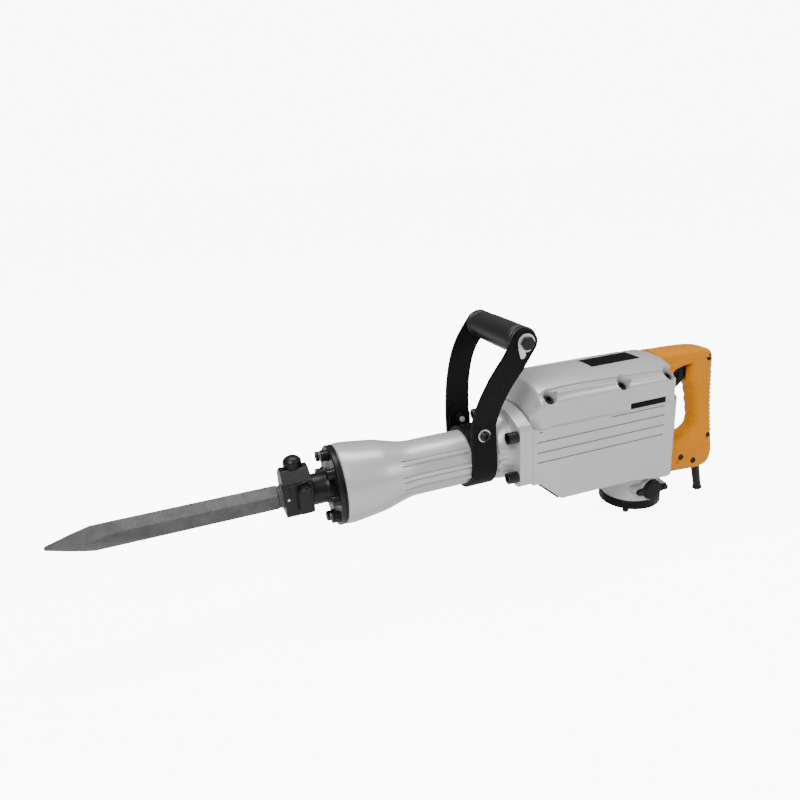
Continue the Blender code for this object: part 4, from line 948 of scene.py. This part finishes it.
def make_rear_handle():
    for name, side in SIDES:
        half = to_object(f"rear_handle_{name}_body", handle_half(side))
        cuts = lean(rod(bmesh.new(), "Z", (0, 0, 0), -10, GUARD_LENGTH + 1, 7.7, 24, 0.1))
        box(cuts, (540, -8.5, 48.5), (602, 8.5, 92))
        boolean(half, "DIFFERENCE", cuts)
        finish(half, "orange_plastic", "machine", [f"rear_handle_{name}"], bevel=0, angle=50)

        skin = BVHTree.FromObject(half, bpy.context.evaluated_depsgraph_get())

        def depth(x, z):
            """How far the handle's skin stands out from the middle plane."""
            hit = skin.ray_cast(at(x, side * 60, z), Vector((0, -side, 0)))[0]
            return abs(local(hit).y) if hit else 0

        for line, (points, radius) in HANDLE_LINES.items():
            run = smooth_run([(x, z, 0) for x, z in points], 6)
            run = [(p.x, side * (depth(p.x, p.y) - radius * 0.4), p.y) for p in run]
            bar = tube_along(bmesh.new(), run, radius, 16)
            piece(f"handle_{line}_{name}", bar, "orange_plastic", "machine", bevel=0)
        dots = bmesh.new()
        for step in range(DOT_COUNT):
            for inward in DOT_ROWS:
                z = 56 - step * DOT_PITCH
                x = 609.3 + (60 - z) * 0.094 - inward
                ball(dots, (x, side * (depth(x, z) - 0.3), z), DOT_RADIUS)
        piece(f"grip_dots_{name}", dots, "orange_plastic", "machine", bevel=0)
        for number, (x, z) in enumerate(HANDLE_SCREWS, 1):
            y = depth(x, z)
            profile = sided(side, [(y - 5, 0), (y - 5, 4.8), (y + 0.9, 4.8), (y + 0.9, 3.6), (y + 0.4, 3.2),
                                   (y + 0.4, 0)])
            screw = turned(bmesh.new(), "Y", (x, 0, z), profile, 28)
            piece(f"handle_screw_{name}_{number}", screw, "black_plastic", "machine", bevel=0.25)

    paddle = [(560, 88), (549, 88), (545.5, 80), (546, 72), (548.5, 60), (547.5, 51), (543, 44),
              (541.5, 40.5), (543.5, 39), (551, 43), (557, 51), (561, 62), (561.5, 76)]
    body = to_object("trigger_body", prism(bmesh.new(), "Y", paddle, -7.5, 7.5))
    finish(body, "black_plastic", "trigger", ["trigger"], bevel=1.6, segments=4)
    profile = [(0, 4.2), (0, 7.2), (0.5, 7.6), (3, 7.6), (3.5, 6.2), (6, 6.2), (GUARD_LENGTH, 7.0),
               (GUARD_LENGTH, 4.2)]
    guard = lean(turned(bmesh.new(), "Z", (0, 0, 0), profile, 40))
    piece("cord_guard_body", guard, "cord_rubber", "machine", ["cord_guard"], bevel=0.3)


# ---------------------------------------------------------------- studio

def make_camera():
    a, e, r = CAMERA_AZIMUTH, CAMERA_ELEVATION, CAMERA_ROLL
    forward = Vector((math.sin(a) * math.cos(e), math.cos(a) * math.cos(e), -math.sin(e)))
    level = Vector((math.cos(a), -math.sin(a), 0))
    upright = level.cross(forward)
    right = level * math.cos(r) + upright * math.sin(r)
    up = upright * math.cos(r) - level * math.sin(r)
    turn = Matrix((right, up, -forward)).transposed().to_4x4()
    camera = bpy.data.objects.new("camera", bpy.data.cameras.new("camera"))
    camera.data.lens = CAMERA_LENS
    camera.data.clip_end = CAMERA_REACH
    camera.matrix_world = Matrix.Translation(at(*CAMERA_PLACE)) @ turn
    bpy.context.scene.collection.objects.link(camera)
    bpy.context.scene.camera = camera


def area_light(name, place, target, size, power):
    lamp = bpy.data.lights.new(name, "AREA")
    lamp.shape = "RECTANGLE"
    lamp.size, lamp.size_y = size
    lamp.energy = power
    thing = bpy.data.objects.new(name, lamp)
    thing.location = place
    thing.rotation_euler = (Vector(target) - Vector(place)).to_track_quat("-Z", "Y").to_euler()
    bpy.context.scene.collection.objects.link(thing)


def make_studio():
    bm = bmesh.new()
    bmesh.ops.create_grid(bm, x_segments=1, y_segments=1, size=FLOOR_SIZE)
    mesh = bpy.data.meshes.new("floor")
    bm.to_mesh(mesh)
    bm.free()
    floor = bpy.data.objects.new("floor", mesh)
    floor.location.z = -FLOOR_DROP
    paper = surface("floor", (0.9, 0.9, 0.9), 0.8, 0, 0.005, 3, 400, 0.01, gleam=0.2)
    glow(paper.node_tree, paper.node_tree.nodes["Principled BSDF"].inputs["Emission Strength"], FLOOR_GLOW, 0)
    paper.node_tree.nodes["Principled BSDF"].inputs["Emission Color"].default_value = (1, 1, 1, 1)
    mesh.materials.append(paper)
    bpy.context.scene.collection.objects.link(floor)
    world = bpy.data.worlds.new("studio")
    bpy.context.scene.world = world
    world.use_nodes = True
    backdrop = world.node_tree.nodes["Background"]
    backdrop.inputs["Color"].default_value = (1, 1, 1, 1)
    glow(world.node_tree, backdrop.inputs["Strength"], BACKDROP_SEEN, BACKDROP_LIGHT)
    for name, place, target, size, power in LAMPS:
        area_light(name, place, target, size, power)


def glow(tree, socket, seen, lit):
    """A strength for what the camera sees of the studio, and another for the light that it gives."""
    ray = tree.nodes.new("ShaderNodeLightPath")
    share = tree.nodes.new("ShaderNodeMapRange")
    share.inputs["To Min"].default_value = lit
    share.inputs["To Max"].default_value = seen
    tree.links.new(ray.outputs["Is Camera Ray"], share.inputs["Value"])
    tree.links.new(share.outputs["Result"], socket)


make_camera()
make_studio()
make_tool()
make_nose()
make_stop_lever()
make_knob()
make_flange_bolts()
make_barrel_bolts()
make_barrel()
make_case()
make_hood()
make_motor_end()
make_side_handle()
make_rear_handle()
